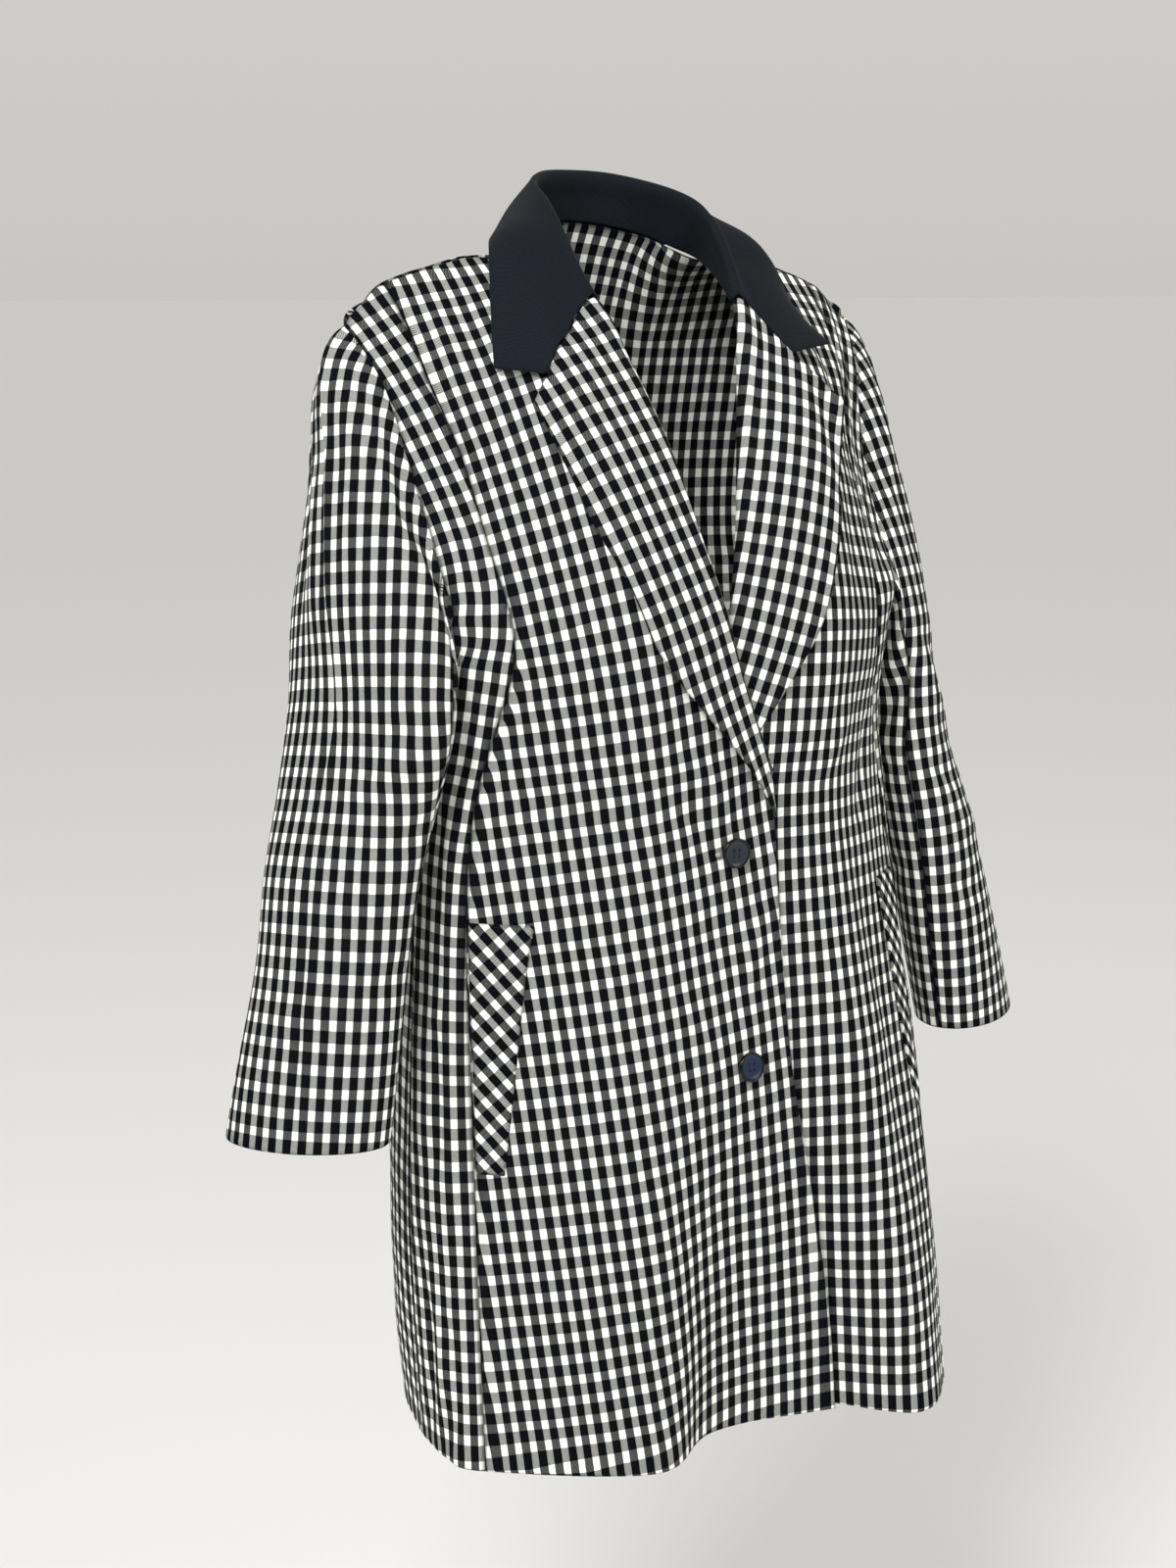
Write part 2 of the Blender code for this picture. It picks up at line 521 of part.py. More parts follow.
def build_collar(right, left, back):
    """Stand, fold and fall in one wall, from one gorge round the neck to the other."""
    feet = collar_feet(right, left, back)
    stations = np.arange(len(feet))
    fold = collar_line(gorge_top(right), COLLAR["fold"], gorge_top(left), stations)
    edge = collar_line(COLLAR_CORNER["right"], COLLAR["edge"], COLLAR_CORNER["left"], stations)
    sections = []
    for i, (foot, top, hem) in enumerate(zip(feet, fold, edge)):
        outward = unit((hem - top) * (1, 1, 0))
        roll = [top - outward * COLLAR_ROLL, top + (0, 0, COLLAR_ROLL * .8)]
        if i == 0:
            fall = gorge_seam("right", right, hem, COLLAR_FALL_ROWS)
        elif i == len(feet) - 1:
            fall = gorge_seam("left", left, hem, COLLAR_FALL_ROWS)
        else:
            middle = (top + hem) / 2 + outward * COLLAR_BELLY[0] + (0, 0, COLLAR_BELLY[1])
            points = [top + outward * COLLAR_ROLL, middle, hem]
            fall = list(spline(points, np.linspace(0, 2, COLLAR_FALL_ROWS)))
        sections.append([foot, (foot + roll[0]) / 2, *roll, *fall])
    sections = np.array(sections)
    at = np.linspace(0, len(feet) - 1, (len(feet) - 1) * 2 + 1)
    grid = np.stack([spline(sections[:, r], at) for r in range(sections.shape[1])])
    grid[0] = np.stack([np.interp(at, stations, feet[:, k]) for k in range(3)], axis=1)
    for end, beside in ((0, 1), (-1, -2)):
        grid[:, end] += unit(grid[:, beside] - grid[:, end]) * GORGE_GAP
    normals = grid_normals(grid)
    if normals[-1, len(at) // 2, 1] < 0:
        normals *= -1
    half = COLLAR_WALL / 2
    wall("collar", grid + normals * half, grid - normals * half, ("collar cloth", COLLAR_CLOTH))


def build_lapel(side, panel):
    """The lapel: round the roll line, then over the front panel to its outer edge."""
    roll, face, past = roll_line(panel)
    count = len(roll)
    edge = spline(LAPEL_EDGE[side][::-1], np.linspace(0, len(LAPEL_EDGE[side]) - 1, count))
    rows = []
    for i in range(count):
        start = roll[i] + past[i] * SEAM_GAP - face[i] * WALL / 2
        turn = roll[i] + past[i] * LAPEL_ROLL + face[i] * LAPEL_TURN_FACE
        over = roll[i] + past[i] * LAPEL_BACK + face[i] * (LAPEL_ROLL + LAPEL_BACK)
        if i == count - 1:
            rest = gorge_seam(side, panel, edge[i], LAPEL_SEGMENTS)
        else:
            rest = cover(side, over, edge[i], LAPEL_SEGMENTS)
        rows.append([start, turn, over] + list(rest))
    middle = np.array(rows)
    middle[-1] += unit(middle[-2] - middle[-1]) * GORGE_GAP
    normals = grid_normals(middle)
    if normals[count // 2, -2, 1] > 0:
        normals *= -1
    normals[:, 0] = -face
    half = WALL / 2
    wall("lapel_" + side, middle + normals * half, middle - normals * half, ("check cloth", CHECK_CLOTH))


def panel_place(lines, line, level):
    """Point and outward normal of a front panel at a (line, level) place."""
    step = .02
    patch = surface(lines, np.array((level - step, level, level + step)),
                    np.array((line - step, line, line + step)))
    normal = grid_normals(patch)[1, 1]
    return patch[1, 1], normal if normal[1] < 0 else -normal


def build_welt(side):
    """A welt laid on a front panel."""
    lines = FRONT[side]
    outer, inner = [], []
    for r in range(WELT_ROWS + 1):
        down = r / WELT_ROWS
        level = WELT["top"] + (WELT["bottom"] - WELT["top"]) * down
        front = WELT["front_top"] + (WELT["front_bottom"] - WELT["front_top"]) * down
        places = [panel_place(lines, front + (WELT["side"] - front) * c / WELT_COLUMNS, level)
                  for c in range(WELT_COLUMNS + 1)]
        inner.append([point + normal * WELT_LIFT for point, normal in places])
        outer.append([point + normal * (WELT_LIFT + WELT_THICKNESS) for point, normal in places])
    wall("pocket_welt_" + side, np.array(outer), np.array(inner), ("check cloth", CHECK_CLOTH))


def build_button(name, line, level):
    """A turned, dished button with four holes, laid on the right front."""
    radius, rim, dish = BUTTON_DIAMETER / 2, BUTTON_RIM, BUTTON_DISH
    profile = [(0, BUTTON_THICKNESS - dish), (radius - rim, BUTTON_THICKNESS - dish),
               (radius - rim * .55, BUTTON_THICKNESS), (radius - rim * .2, BUTTON_THICKNESS * .93),
               (radius, BUTTON_THICKNESS * .55), (radius * .93, BUTTON_THICKNESS * .18),
               (radius * .6, 0), (0, 0)]
    mesh = bpy.data.meshes.new(name)
    mesh.from_pydata([(x, 0, z) for x, z in profile], [(i, i + 1) for i in range(len(profile) - 1)], [])
    button = bpy.data.objects.new(name, mesh)
    coat.objects.link(button)
    screw = button.modifiers.new("turned", 'SCREW')
    screw.steps = screw.render_steps = 24
    screw.use_merge_vertices = True
    screw.merge_threshold = .0001
    cutters = bpy.data.meshes.new(name + "_holes")
    build = bmesh.new()
    for x, y in ((1, 1), (-1, 1), (-1, -1), (1, -1)):
        place = Matrix.Translation((x * BUTTON_HOLE_SPREAD, y * BUTTON_HOLE_SPREAD, BUTTON_THICKNESS / 2))
        bmesh.ops.create_cone(build, cap_ends=True, segments=10, radius1=BUTTON_HOLE_DIAMETER / 2,
                              radius2=BUTTON_HOLE_DIAMETER / 2, depth=BUTTON_THICKNESS * 3, matrix=place)
    build.to_mesh(cutters)
    build.free()
    cutter = bpy.data.objects.new(name + "_holes", cutters)
    cutter.hide_render = True
    cutter.display_type = 'WIRE'
    cutting.objects.link(cutter)
    cut = button.modifiers.new("holes", 'BOOLEAN')
    cut.operation = 'DIFFERENCE'
    cut.object = cutter
    point, normal = panel_place(FRONT["right"], line, level)
    place = Vector(point + normal * BUTTON_LIFT)
    turn = Vector(normal).to_track_quat('Z', 'Y')
    for piece in (button, cutter):
        piece.location = place
        piece.rotation_mode = 'QUATERNION'
        piece.rotation_quaternion = turn
    mesh.materials.append(material("button plastic", BUTTON_PLASTIC))


# ---- the coat ---------------------------------------------------------------------------------
for old in list(bpy.data.objects):
    bpy.data.objects.remove(old, do_unlink=True)
coat = bpy.data.collections.new("checked_coat")
cutting = bpy.data.collections.new("cutters")
bpy.context.scene.collection.children.link(coat)
bpy.context.scene.collection.children.link(cutting)

right_front, left_front, back_panel = build_body()
build_sleeve("right", right_front, back_panel, 0)
build_sleeve("left", left_front, back_panel, -1)
build_collar(right_front, left_front, back_panel)
build_lapel("right", right_front)
build_lapel("left", left_front)
build_welt("right")
build_welt("left")
for button_name, button_place in BUTTONS.items():
    build_button(button_name, *button_place)
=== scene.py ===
import math

import bmesh
import bpy
import numpy as np
from mathutils import Matrix, Vector


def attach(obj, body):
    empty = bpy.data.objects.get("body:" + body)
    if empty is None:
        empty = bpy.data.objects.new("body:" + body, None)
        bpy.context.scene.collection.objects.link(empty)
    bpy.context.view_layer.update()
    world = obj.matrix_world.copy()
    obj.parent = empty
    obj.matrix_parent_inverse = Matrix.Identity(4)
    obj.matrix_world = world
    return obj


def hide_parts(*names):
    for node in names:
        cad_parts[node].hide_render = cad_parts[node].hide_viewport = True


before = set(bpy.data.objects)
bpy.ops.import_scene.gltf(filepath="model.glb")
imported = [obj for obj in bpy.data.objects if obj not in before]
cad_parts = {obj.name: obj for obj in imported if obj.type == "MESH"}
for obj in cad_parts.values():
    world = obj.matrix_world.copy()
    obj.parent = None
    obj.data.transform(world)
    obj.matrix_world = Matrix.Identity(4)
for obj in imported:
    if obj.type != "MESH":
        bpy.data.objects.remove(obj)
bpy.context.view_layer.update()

mm = 0.001
print("frame loaded:", len(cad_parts), "parts")

# The coat's own lines in mm, wearer's right at -x, facing -y, one row a level from the hem up.
# A front's first line is its free edge and higher up the roll line, its last the side and armhole.
rightFront = {  # edge, centre, middle, princess, flank, side
    "hem": [(88, -184, -865), (-12, -168, -865), (-85, -199, -865), (-190, -132, -865),
            (-205, -100, -865), (-203, -55, -865)],
    "low": [(76, -187, -770), (-12, -175, -770), (-90, -192, -770), (-188, -122, -770), (-206, -95, -770),
            (-208, -56, -770)],
    "thigh": [(60, -186, -680), (-12, -180, -680), (-95, -185, -680), (-186, -113, -680),
              (-206, -91, -680), (-211, -57, -680)],
    "hip": [(42, -183, -580), (-12, -182, -580), (-100, -176, -580), (-184, -105, -580),
            (-202, -88, -580), (-208, -56, -580)],
    "pocket": [(34, -176, -470), (-18, -176, -470), (-98, -164, -470), (-183, -98, -470),
               (-195, -79, -470), (-200, -48, -470)],
    "waist": [(30, -171, -388), (-20, -172, -388), (-90, -160, -388), (-178, -100, -388),
              (-191, -74, -388), (-197, -38, -388)],
    "under": [(10, -174, -335), (-35, -175, -335), (-88, -166, -335), (-168, -108, -335),
              (-192, -77, -335), (-200, -28, -335)],
    "bust": [(-7, -173, -288), (-45, -176, -287), (-90, -170, -287), (-158, -122, -284),
             (-193, -85, -287), (-205, -15, -292)],
    "scye": [(-19, -170, -245), (-50, -173, -245), (-93, -166, -245), (-157, -121, -245),
             (-178, -111, -249), (-192, -96, -252)],
    "chest": [(-32, -156, -190), (-60, -158, -190), (-98, -150, -190), (-161, -92, -190),
              (-179, -87, -198), (-192, -79, -205)],
    "upper": [(-44, -133, -130), (-69, -133, -131), (-102, -125, -133), (-164, -64, -137),
              (-182, -58, -143), (-196, -52, -150)],
    "yoke": [(-55, -98, -72), (-78, -97, -76), (-109, -88, -79), (-177, -41, -87), (-191, -35, -90),
             (-204.5, -31, -93.5)],
    "gorge": [(-60.5, -66, -33), (-85, -58, -37), (-117, -44, -38), (-181, -18, -50), (-197, -13, -55),
              (-213, -11, -63)],
    "shoulder": [(-73, 0, 0), (-95, 3, -2), (-125, 7, 0), (-185, 9, -18), (-202, 9, -31),
                 (-219, 7, -47)],
}
leftFront = {  # edge, centre, middle, princess, flank, side
    "hem": [(0, -152, -865), (70, -158, -865), (138, -222, -865), (190, -190, -865), (222, -130, -865),
            (226, -50, -865)],
    "low": [(-8, -160, -770), (60, -165, -770), (131, -211, -770), (189, -175, -770), (219, -118, -770),
            (222, -52, -770)],
    "thigh": [(-15, -167, -680), (46, -171, -680), (121, -199, -680), (187, -160, -680),
              (215, -108, -680), (218, -56, -680)],
    "hip": [(-22, -169, -580), (40, -174, -580), (111, -186, -580), (183, -140, -580), (212, -98, -580),
            (212, -56, -580)],
    "pocket": [(-27, -163, -470), (30, -167, -470), (102, -168, -470), (180, -118, -470),
               (199, -83, -470), (202, -48, -470)],
    "waist": [(-30, -159, -388), (28, -162, -388), (94, -158, -388), (175, -106, -388), (193, -76, -388),
              (197, -38, -388)],
    "under": [(-18, -157, -337), (32, -163, -335), (90, -162, -335), (167, -108, -335), (193, -78, -335),
              (200, -28, -335)],
    "bust": [(-2, -154, -289), (40, -164, -287), (91, -164, -287), (160, -120, -284), (193, -85, -287),
             (205, -15, -292)],
    "scye": [(12, -146, -247), (49, -160, -245), (94, -160, -245), (158, -121, -245), (178, -111, -249),
             (192, -96, -252)],
    "chest": [(29, -128, -190), (60, -145, -190), (98, -144, -190), (161, -99, -190), (179, -87, -198),
              (192, -79, -205)],
    "upper": [(43, -108, -130), (69, -120, -131), (103, -120, -133), (164, -73, -137), (182, -58, -143),
              (196, -52, -150)],
    "yoke": [(53, -88, -75), (78, -88, -76), (108, -85, -80), (177, -47, -88), (191, -35, -90),
             (204.5, -31, -93.5)],
    "gorge": [(60.5, -67, -33), (85, -56, -37), (113, -45, -42), (181, -21, -50), (197, -13, -55),
              (213, -11, -63)],
    "shoulder": [(73, 0, 0), (95, 3, -2), (125, 7, 0), (185, 9, -18), (202, 9, -31), (219, 7, -47)],
}
backPanel = {  # flank, blade, neck, nape, centre
    "hem": [(-182, 12, -865), (-135, 77, -865), (-72, 103, -865), (-36, 106, -865), (0, 107, -865)],
    "low": [(-189, 13, -770), (-138, 78, -770), (-72, 102, -770), (-36, 105, -770), (0, 106, -770)],
    "thigh": [(-192, 13, -680), (-139, 78, -680), (-72, 100, -680), (-36, 103, -680), (0, 104, -680)],
    "hip": [(-191, 14, -580), (-138, 77, -580), (-72, 97, -580), (-36, 100, -580), (0, 101, -580)],
    "pocket": [(-187, 20, -470), (-138, 75, -470), (-70, 91, -470), (-35, 94, -470), (0, 95, -470)],
    "waist": [(-186, 27, -388), (-134, 72, -388), (-68, 87, -388), (-34, 89, -388), (0, 90, -388)],
    "under": [(-188, 36, -335), (-133, 77, -335), (-68, 90, -335), (-34, 92, -335), (0, 92, -335)],
    "bust": [(-190, 50, -289), (-132, 88, -287), (-68, 97, -285), (-34, 98, -285), (0, 98, -285)],
    "scye": [(-181, 82, -250), (-131, 98, -248), (-68, 103, -243), (-34, 104, -242), (0, 104, -242)],
    "chest": [(-177, 91, -198), (-131, 101, -194), (-69, 106, -186), (-35, 107, -184), (0, 108, -183)],
    "upper": [(-178, 83, -147), (-133, 92, -138), (-71, 100, -122), (-37, 104, -118), (0, 106, -117)],
    "yoke": [(-183, 58, -88), (-139, 67, -72), (-74, 79, -62), (-41, 90, -53), (0, 95, -50)],
    "gorge": [(-193, 30, -49), (-143, 37, -24), (-75, 44, -21), (-46, 68, -8), (0, 81, -2)],
    "shoulder": [(-202, 9, -31), (-125, 7, 0), (-73, 0, 0), (-50, 46, 17), (0, 67, 26)],
}
armhole = [(-197, 62, -256), (-193, 78, -205), (-196, 70, -150), (-203, 51, -94), (-212, 27, -60),
           (-219, 7, -47)]             # the back's edge at the right sleeve, above the bust
levelNames = list(rightFront)
underarm, breakLevel, gorgeLevel = (levelNames.index(n) for n in ("bust", "waist", "gorge"))
topLevel = len(levelNames) - 1

# how finely each shell is made, and how its edges and seams are worked
clothMake = {
    "wall": 2.0 * mm,
    "spacing": 4.4 * mm,        # mesh spacing over the panels
    "rim": (0.7 * mm, 1.9 * mm, 3.4 * mm),   # extra lines beside each edge
    "seamDip": 1.5 * mm, "seamReach": 2.4 * mm,    # the groove that a pressed seam leaves
    "pucker": 0.3,              # how uneven that groove is
    "seamShade": 0.8, "edgeShade": 0.45,        # painted shade: how much darker the cloth is painted in a seam's groove and beside a free edge
    "seamGap": 0.3 * mm,        # between two pieces that are sewn together
    "tuck": 1.2 * mm,           # a sleeve's head goes this far under the armhole's edge
}


def curveThrough(points, at, knots=None):
    # a smooth curve through points with one knot each, read at the places given
    points = np.asarray(points, float)
    shape = points.shape[1:]
    points = points.reshape(len(points), -1)
    knots = np.arange(len(points), dtype=float) if knots is None else np.asarray(knots, float)
    at = np.asarray(at, float)
    span = np.diff(knots)
    step = np.diff(points, axis=0) / span[:, None]
    slope = np.empty_like(points)
    slope[1:-1] = ((step[:-1] * span[1:, None] + step[1:] * span[:-1, None])
                   / (span[1:] + span[:-1])[:, None])
    slope[0] = 1.5 * step[0] - 0.5 * slope[1] if len(points) > 2 else step[0]
    slope[-1] = 1.5 * step[-1] - 0.5 * slope[-2] if len(points) > 2 else step[-1]
    i = np.clip(np.searchsorted(knots, at, side="right") - 1, 0, len(points) - 2)
    h = span[i][:, None]
    t = (at[:, None] - knots[i][:, None]) / h
    made = ((2 * t**3 - 3 * t**2 + 1) * points[i] + (t**3 - 2 * t**2 + t) * h * slope[i]
            + (3 * t**2 - 2 * t**3) * points[i + 1] + (t**3 - t**2) * h * slope[i + 1])
    return made.reshape(len(at), *shape)


def unit(vectors):
    vectors = np.asarray(vectors, float)
    return vectors / np.maximum(np.linalg.norm(vectors, axis=-1, keepdims=True), 1e-12)


def mirrored(points):
    return np.asarray(points, float) * (-1, 1, 1)


def runLength(points, axis=0):
    # length along a grid from its first line
    step = np.linalg.norm(np.diff(points, axis=axis), axis=-1)
    return np.concatenate([np.zeros_like(np.take(step, [0], axis)), np.cumsum(step, axis=axis)], axis=axis)


def spread(lengths, spacing):
    # places along a run of spans, evenly filled, with a few more beside both ends
    places = [0.0]
    for i, length in enumerate(lengths):
        count = max(1, round(length / spacing))
        places += [i + (k + 1) / count for k in range(count)]
    near = [p for d in clothMake["rim"] for p in (d / lengths[0], len(lengths) - d / lengths[-1])]
    clear = 1.35 * clothMake["rim"][-1]        # no even place this close to the extra ones
    keep = [p for p in places if p in (0.0, float(len(lengths)))
            or (p > clear / lengths[0] and p < len(lengths) - clear / lengths[-1])]
    return np.array(sorted(keep + near))


def gridNormals(grid, around=False):
    # the way out from a grid at each point; around: its columns close into a ring
    def tangents(axis, around=False):
        if around:
            step = unit(np.roll(grid, -1, axis=axis) - grid)
            return step + np.roll(step, 1, axis=axis)
        step = unit(np.diff(grid, axis=axis))
        first, last = np.take(step, [0], axis), np.take(step, [-1], axis)
        return np.concatenate([first, step], axis) + np.concatenate([step, last], axis)
    return unit(np.cross(tangents(1, around), tangents(0)))


def softened(normals, times, around=False):
    # evens out the normals, so that a fold does not sharpen them
    for _ in range(times):
        normals[1:-1] = unit(normals[:-2] + 2 * normals[1:-1] + normals[2:])
        if around:
            normals = unit(np.roll(normals, 1, axis=1) + 2 * normals + np.roll(normals, -1, axis=1))
        else:
            normals[:, 1:-1] = unit(normals[:, :-2] + 2 * normals[:, 1:-1] + normals[:, 2:])
    return normals


# ---- the body's surfaces
def linePoints(line, rows, corner):
    # the armhole turns a corner at its lowest point
    if not corner:
        return curveThrough(line, rows)
    low, high = rows[rows <= underarm], rows[rows > underarm]
    return np.vstack([curveThrough(line[:underarm + 1], low),
                      curveThrough(line[underarm:], high - underarm)])


def throughLines(lines, corners, rows, columns):
    # a smooth surface through upright lines
    sampled = [linePoints(line, rows, corner) for line, corner in zip(lines, corners)]
    return curveThrough(np.stack(sampled), columns).transpose(1, 0, 2)


def frontLines(table):
    # the six upright lines of a front, in metres
    return [np.array([table[level][k] for level in levelNames], float) * mm for k in range(6)]


def bodyGrids(rows, frontColumns, backColumns):
    # outer points and outward normals of both fronts and the back
    hole = np.array(armhole, float) * mm
    grids, sides = {}, {}
    for side, table, flip in (("right", rightFront, (1, 1, 1)), ("left", leftFront, (-1, 1, 1))):
        lines = frontLines(table)
        grids[side] = throughLines(lines, [False] * 5 + [True], rows, frontColumns)
        sides[side] = np.vstack([lines[5][:underarm + 1], hole * flip])
    half = [np.array([backPanel[level][k] for level in levelNames], float) * mm for k in range(5)]
    lines = [sides["right"], *half, *[mirrored(line) for line in half[-2::-1]], sides["left"]]
    back = throughLines(lines, [True] + [False] * 9 + [True], rows, backColumns)
    seam = grids["right"][-1, ::-1]            # the back's shoulder lies along the front's
    reach = abs(back[-1, :, 0])
    on = reach >= -seam[-1, 0]
    for k in (1, 2):
        back[-1, on, k] = np.interp(-reach, seam[:, 0], seam[:, k])[on]
    normals = {}
    for name, grid in (("right", grids["right"]), ("left", grids["left"]), ("back", back)):
        made = gridNormals(grid)
        outward = unit((grid - (0, -35 * mm, 0)) * (1, 1, 0))
        low = rows < underarm
        normals[name] = made * (-1 if (made * outward)[low].sum() < 0 else 1)
    low = rows <= underarm
    for name, column in (("right", 0), ("left", -1)):
        shared = unit(normals[name][low, -1] + normals["back"][low, column])
        normals[name][low, -1] = shared
        normals["back"][low, column] = shared
    for name, grid in (("right", grids["right"]), ("left", grids["left"]), ("back", back)):
        along = unit(np.gradient(grid[-1], axis=0))
        across = unit(np.cross(along, (0, 1, 0)))
        across *= np.where(across[:, 2:] < 0, -1, 1)
        on = abs(grid[-1, :, 0]) >= abs(seam[-1, 0]) - 1e-6
        normals[name][-1, on] = across[on]
    return {"right": (grids["right"], normals["right"]), "left": (grids["left"], normals["left"]),
            "back": (back, normals["back"])}


# ---- flat cut of a piece, so that the checks follow the cloth's own threads
def flatCut(grid, turns=30):
    # lays a grid of cloth flat with as little stretch as it can, in metres
    rows, columns = grid.shape[:2]
    pickR = np.unique(np.round(np.linspace(0, rows - 1, min(rows, 34))).astype(int))
    pickC = np.unique(np.round(np.linspace(0, columns - 1, min(columns, 18))).astype(int))
    small = grid[np.ix_(pickR, pickC)]
    r, c = small.shape[:2]
    points = small.reshape(-1, 3)
    index = np.arange(r * c).reshape(r, c)
    a, b = index[:-1, :-1].ravel(), index[:-1, 1:].ravel()
    d, e = index[1:, 1:].ravel(), index[1:, :-1].ravel()
    faces = np.vstack([np.column_stack([a, b, d]), np.column_stack([a, d, e])])
    p0, p1, p2 = (points[faces[:, k]] for k in range(3))
    x1 = np.linalg.norm(p1 - p0, axis=1)
    x2 = np.einsum("ij,ij->i", p2 - p0, unit(p1 - p0))
    y2 = np.sqrt(np.maximum(np.linalg.norm(p2 - p0, axis=1)**2 - x2**2, 1e-14))
    local = np.zeros((len(faces), 3, 2))
    local[:, 1, 0] = x1
    local[:, 2, 0], local[:, 2, 1] = x2, y2
    weights = np.zeros((len(faces), 3))        # cotangent at each corner, for the edge across it
    for k in range(3):
        u = local[:, (k + 1) % 3] - local[:, k]
        v = local[:, (k + 2) % 3] - local[:, k]
        cross = abs(u[:, 0] * v[:, 1] - u[:, 1] * v[:, 0])
        weights[:, k] = np.clip(np.einsum("ij,ij->i", u, v) / np.maximum(cross, 1e-12), 0.05, 20)
    laplace = np.zeros((r * c, r * c))
    for k in range(3):
        i, j, w = faces[:, (k + 1) % 3], faces[:, (k + 2) % 3], weights[:, k]
        np.add.at(laplace, (i, j), -w)
        np.add.at(laplace, (j, i), -w)
        np.add.at(laplace, (i, i), w)
        np.add.at(laplace, (j, j), w)
    laplace[0, 0] += 1.0
    solver = np.linalg.inv(laplace)
    across, up = runLength(small, 1), runLength(small, 0)
    across = across - across[:, across.shape[1] // 2][:, None]
    up = up - up[up.shape[0] // 2][None, :]
    flat = np.column_stack([across.ravel(), up.ravel()])
    for _ in range(turns):
        pull = np.zeros_like(flat)
        turn = np.zeros((len(faces), 2))
        for k in range(3):
            i, j = faces[:, (k + 1) % 3], faces[:, (k + 2) % 3]
            rest = local[:, (k + 2) % 3] - local[:, (k + 1) % 3]
            now = flat[j] - flat[i]
            w = weights[:, k]
            turn[:, 0] += w * (rest * now).sum(1)
            turn[:, 1] += w * (rest[:, 0] * now[:, 1] - rest[:, 1] * now[:, 0])
        turn = unit(turn)
        for k in range(3):
            i, j = faces[:, (k + 1) % 3], faces[:, (k + 2) % 3]
            rest = local[:, (k + 2) % 3] - local[:, (k + 1) % 3]
            moved = np.column_stack([turn[:, 0] * rest[:, 0] - turn[:, 1] * rest[:, 1],
                                     turn[:, 1] * rest[:, 0] + turn[:, 0] * rest[:, 1]])
            moved *= weights[:, k:k + 1]
            np.add.at(pull, j, moved)
            np.add.at(pull, i, -moved)
        pull[0] += flat[0]
        flat = solver @ pull
    flat = flat.reshape(r, c, 2)
    flat = curveThrough(flat, np.interp(np.arange(rows), pickR, np.arange(r)))
    across = np.interp(np.arange(columns), pickC, np.arange(c))
    return curveThrough(flat.transpose(1, 0, 2), across).transpose(1, 0, 2)


def onGrain(flat, start, end, normalsUp, turn=0.0):
    # turns the flat cut so that the warp runs from start to end, two (row, column) places
    way = flat[end] - flat[start]
    angle = math.atan2(way[0], way[1]) + math.radians(turn)
    made = flat @ np.array(((math.cos(angle), math.sin(angle)), (-math.sin(angle), math.cos(angle))))
    return made if normalsUp else made * (-1, 1)


def facesOut(grid, normals):
    # whether columns run to the right when the outer face is seen with its rows going up
    r, c = grid.shape[0] // 2, grid.shape[1] // 2
    outward = np.cross(grid[r, c + 1] - grid[r, c], grid[r + 1, c] - grid[r, c])
    return float(np.dot(outward, normals[r, c])) > 0


# ---- relief: listed creases, and the cloth's own slight waviness
def placeOn(flat, rows, columns, column, row):
    # the point of the flat cut at a (column, row) place
    i = np.interp(row, rows, np.arange(len(rows)))
    j = np.interp(column, columns, np.arange(len(columns)))
    i0, j0 = min(int(i), len(rows) - 2), min(int(j), len(columns) - 2)
    i, j = i - i0, j - j0
    return (flat[i0, j0] * (1 - i) * (1 - j) + flat[i0, j0 + 1] * (1 - i) * j
            + flat[i0 + 1, j0] * i * (1 - j) + flat[i0 + 1, j0 + 1] * i * j)


def creased(flat, rows, columns, creases):
    # each crease: from (column, row) to (column, row), its width and height in mm, below 0 for a trough
    height = np.zeros(flat.shape[:2])
    for c0, r0, c1, r1, width, rise in creases:
        start = placeOn(flat, rows, columns, c0, r0)
        way = placeOn(flat, rows, columns, c1, r1) - start
        length = float(np.linalg.norm(way))
        along = ((flat - start) @ way) / length**2
        bow = .10 * length * np.sin(math.pi * np.clip(along, 0, 1))      # no crease is dead straight
        aside = ((flat - start) @ np.array((-way[1], way[0]))) / length - bow * .5
        fade = np.clip(1 - (2 * along - 1)**2, 0, 1)**.8
        height += rise * mm * fade * np.exp(-(aside / (width * mm))**2)
    return height


def waviness(flat, seed, size, height):
    # gentle unevenness: a few waves of seeded directions, about one size long
    draw = np.random.default_rng(seed)
    made = np.zeros(flat.shape[:2])
    for _ in range(7):
        angle, phase = draw.uniform(0, math.pi), draw.uniform(0, 2 * math.pi)
        length = size * mm * draw.uniform(.7, 1.6)
        made += np.sin((flat[..., 0] * math.cos(angle) + .55 * flat[..., 1] * math.sin(angle)) * 2 * math.pi
                       / length + phase)
    return made * height * mm / 7**.5


allEdges = dict.fromkeys(("first", "last", "top", "bottom"), "edge")


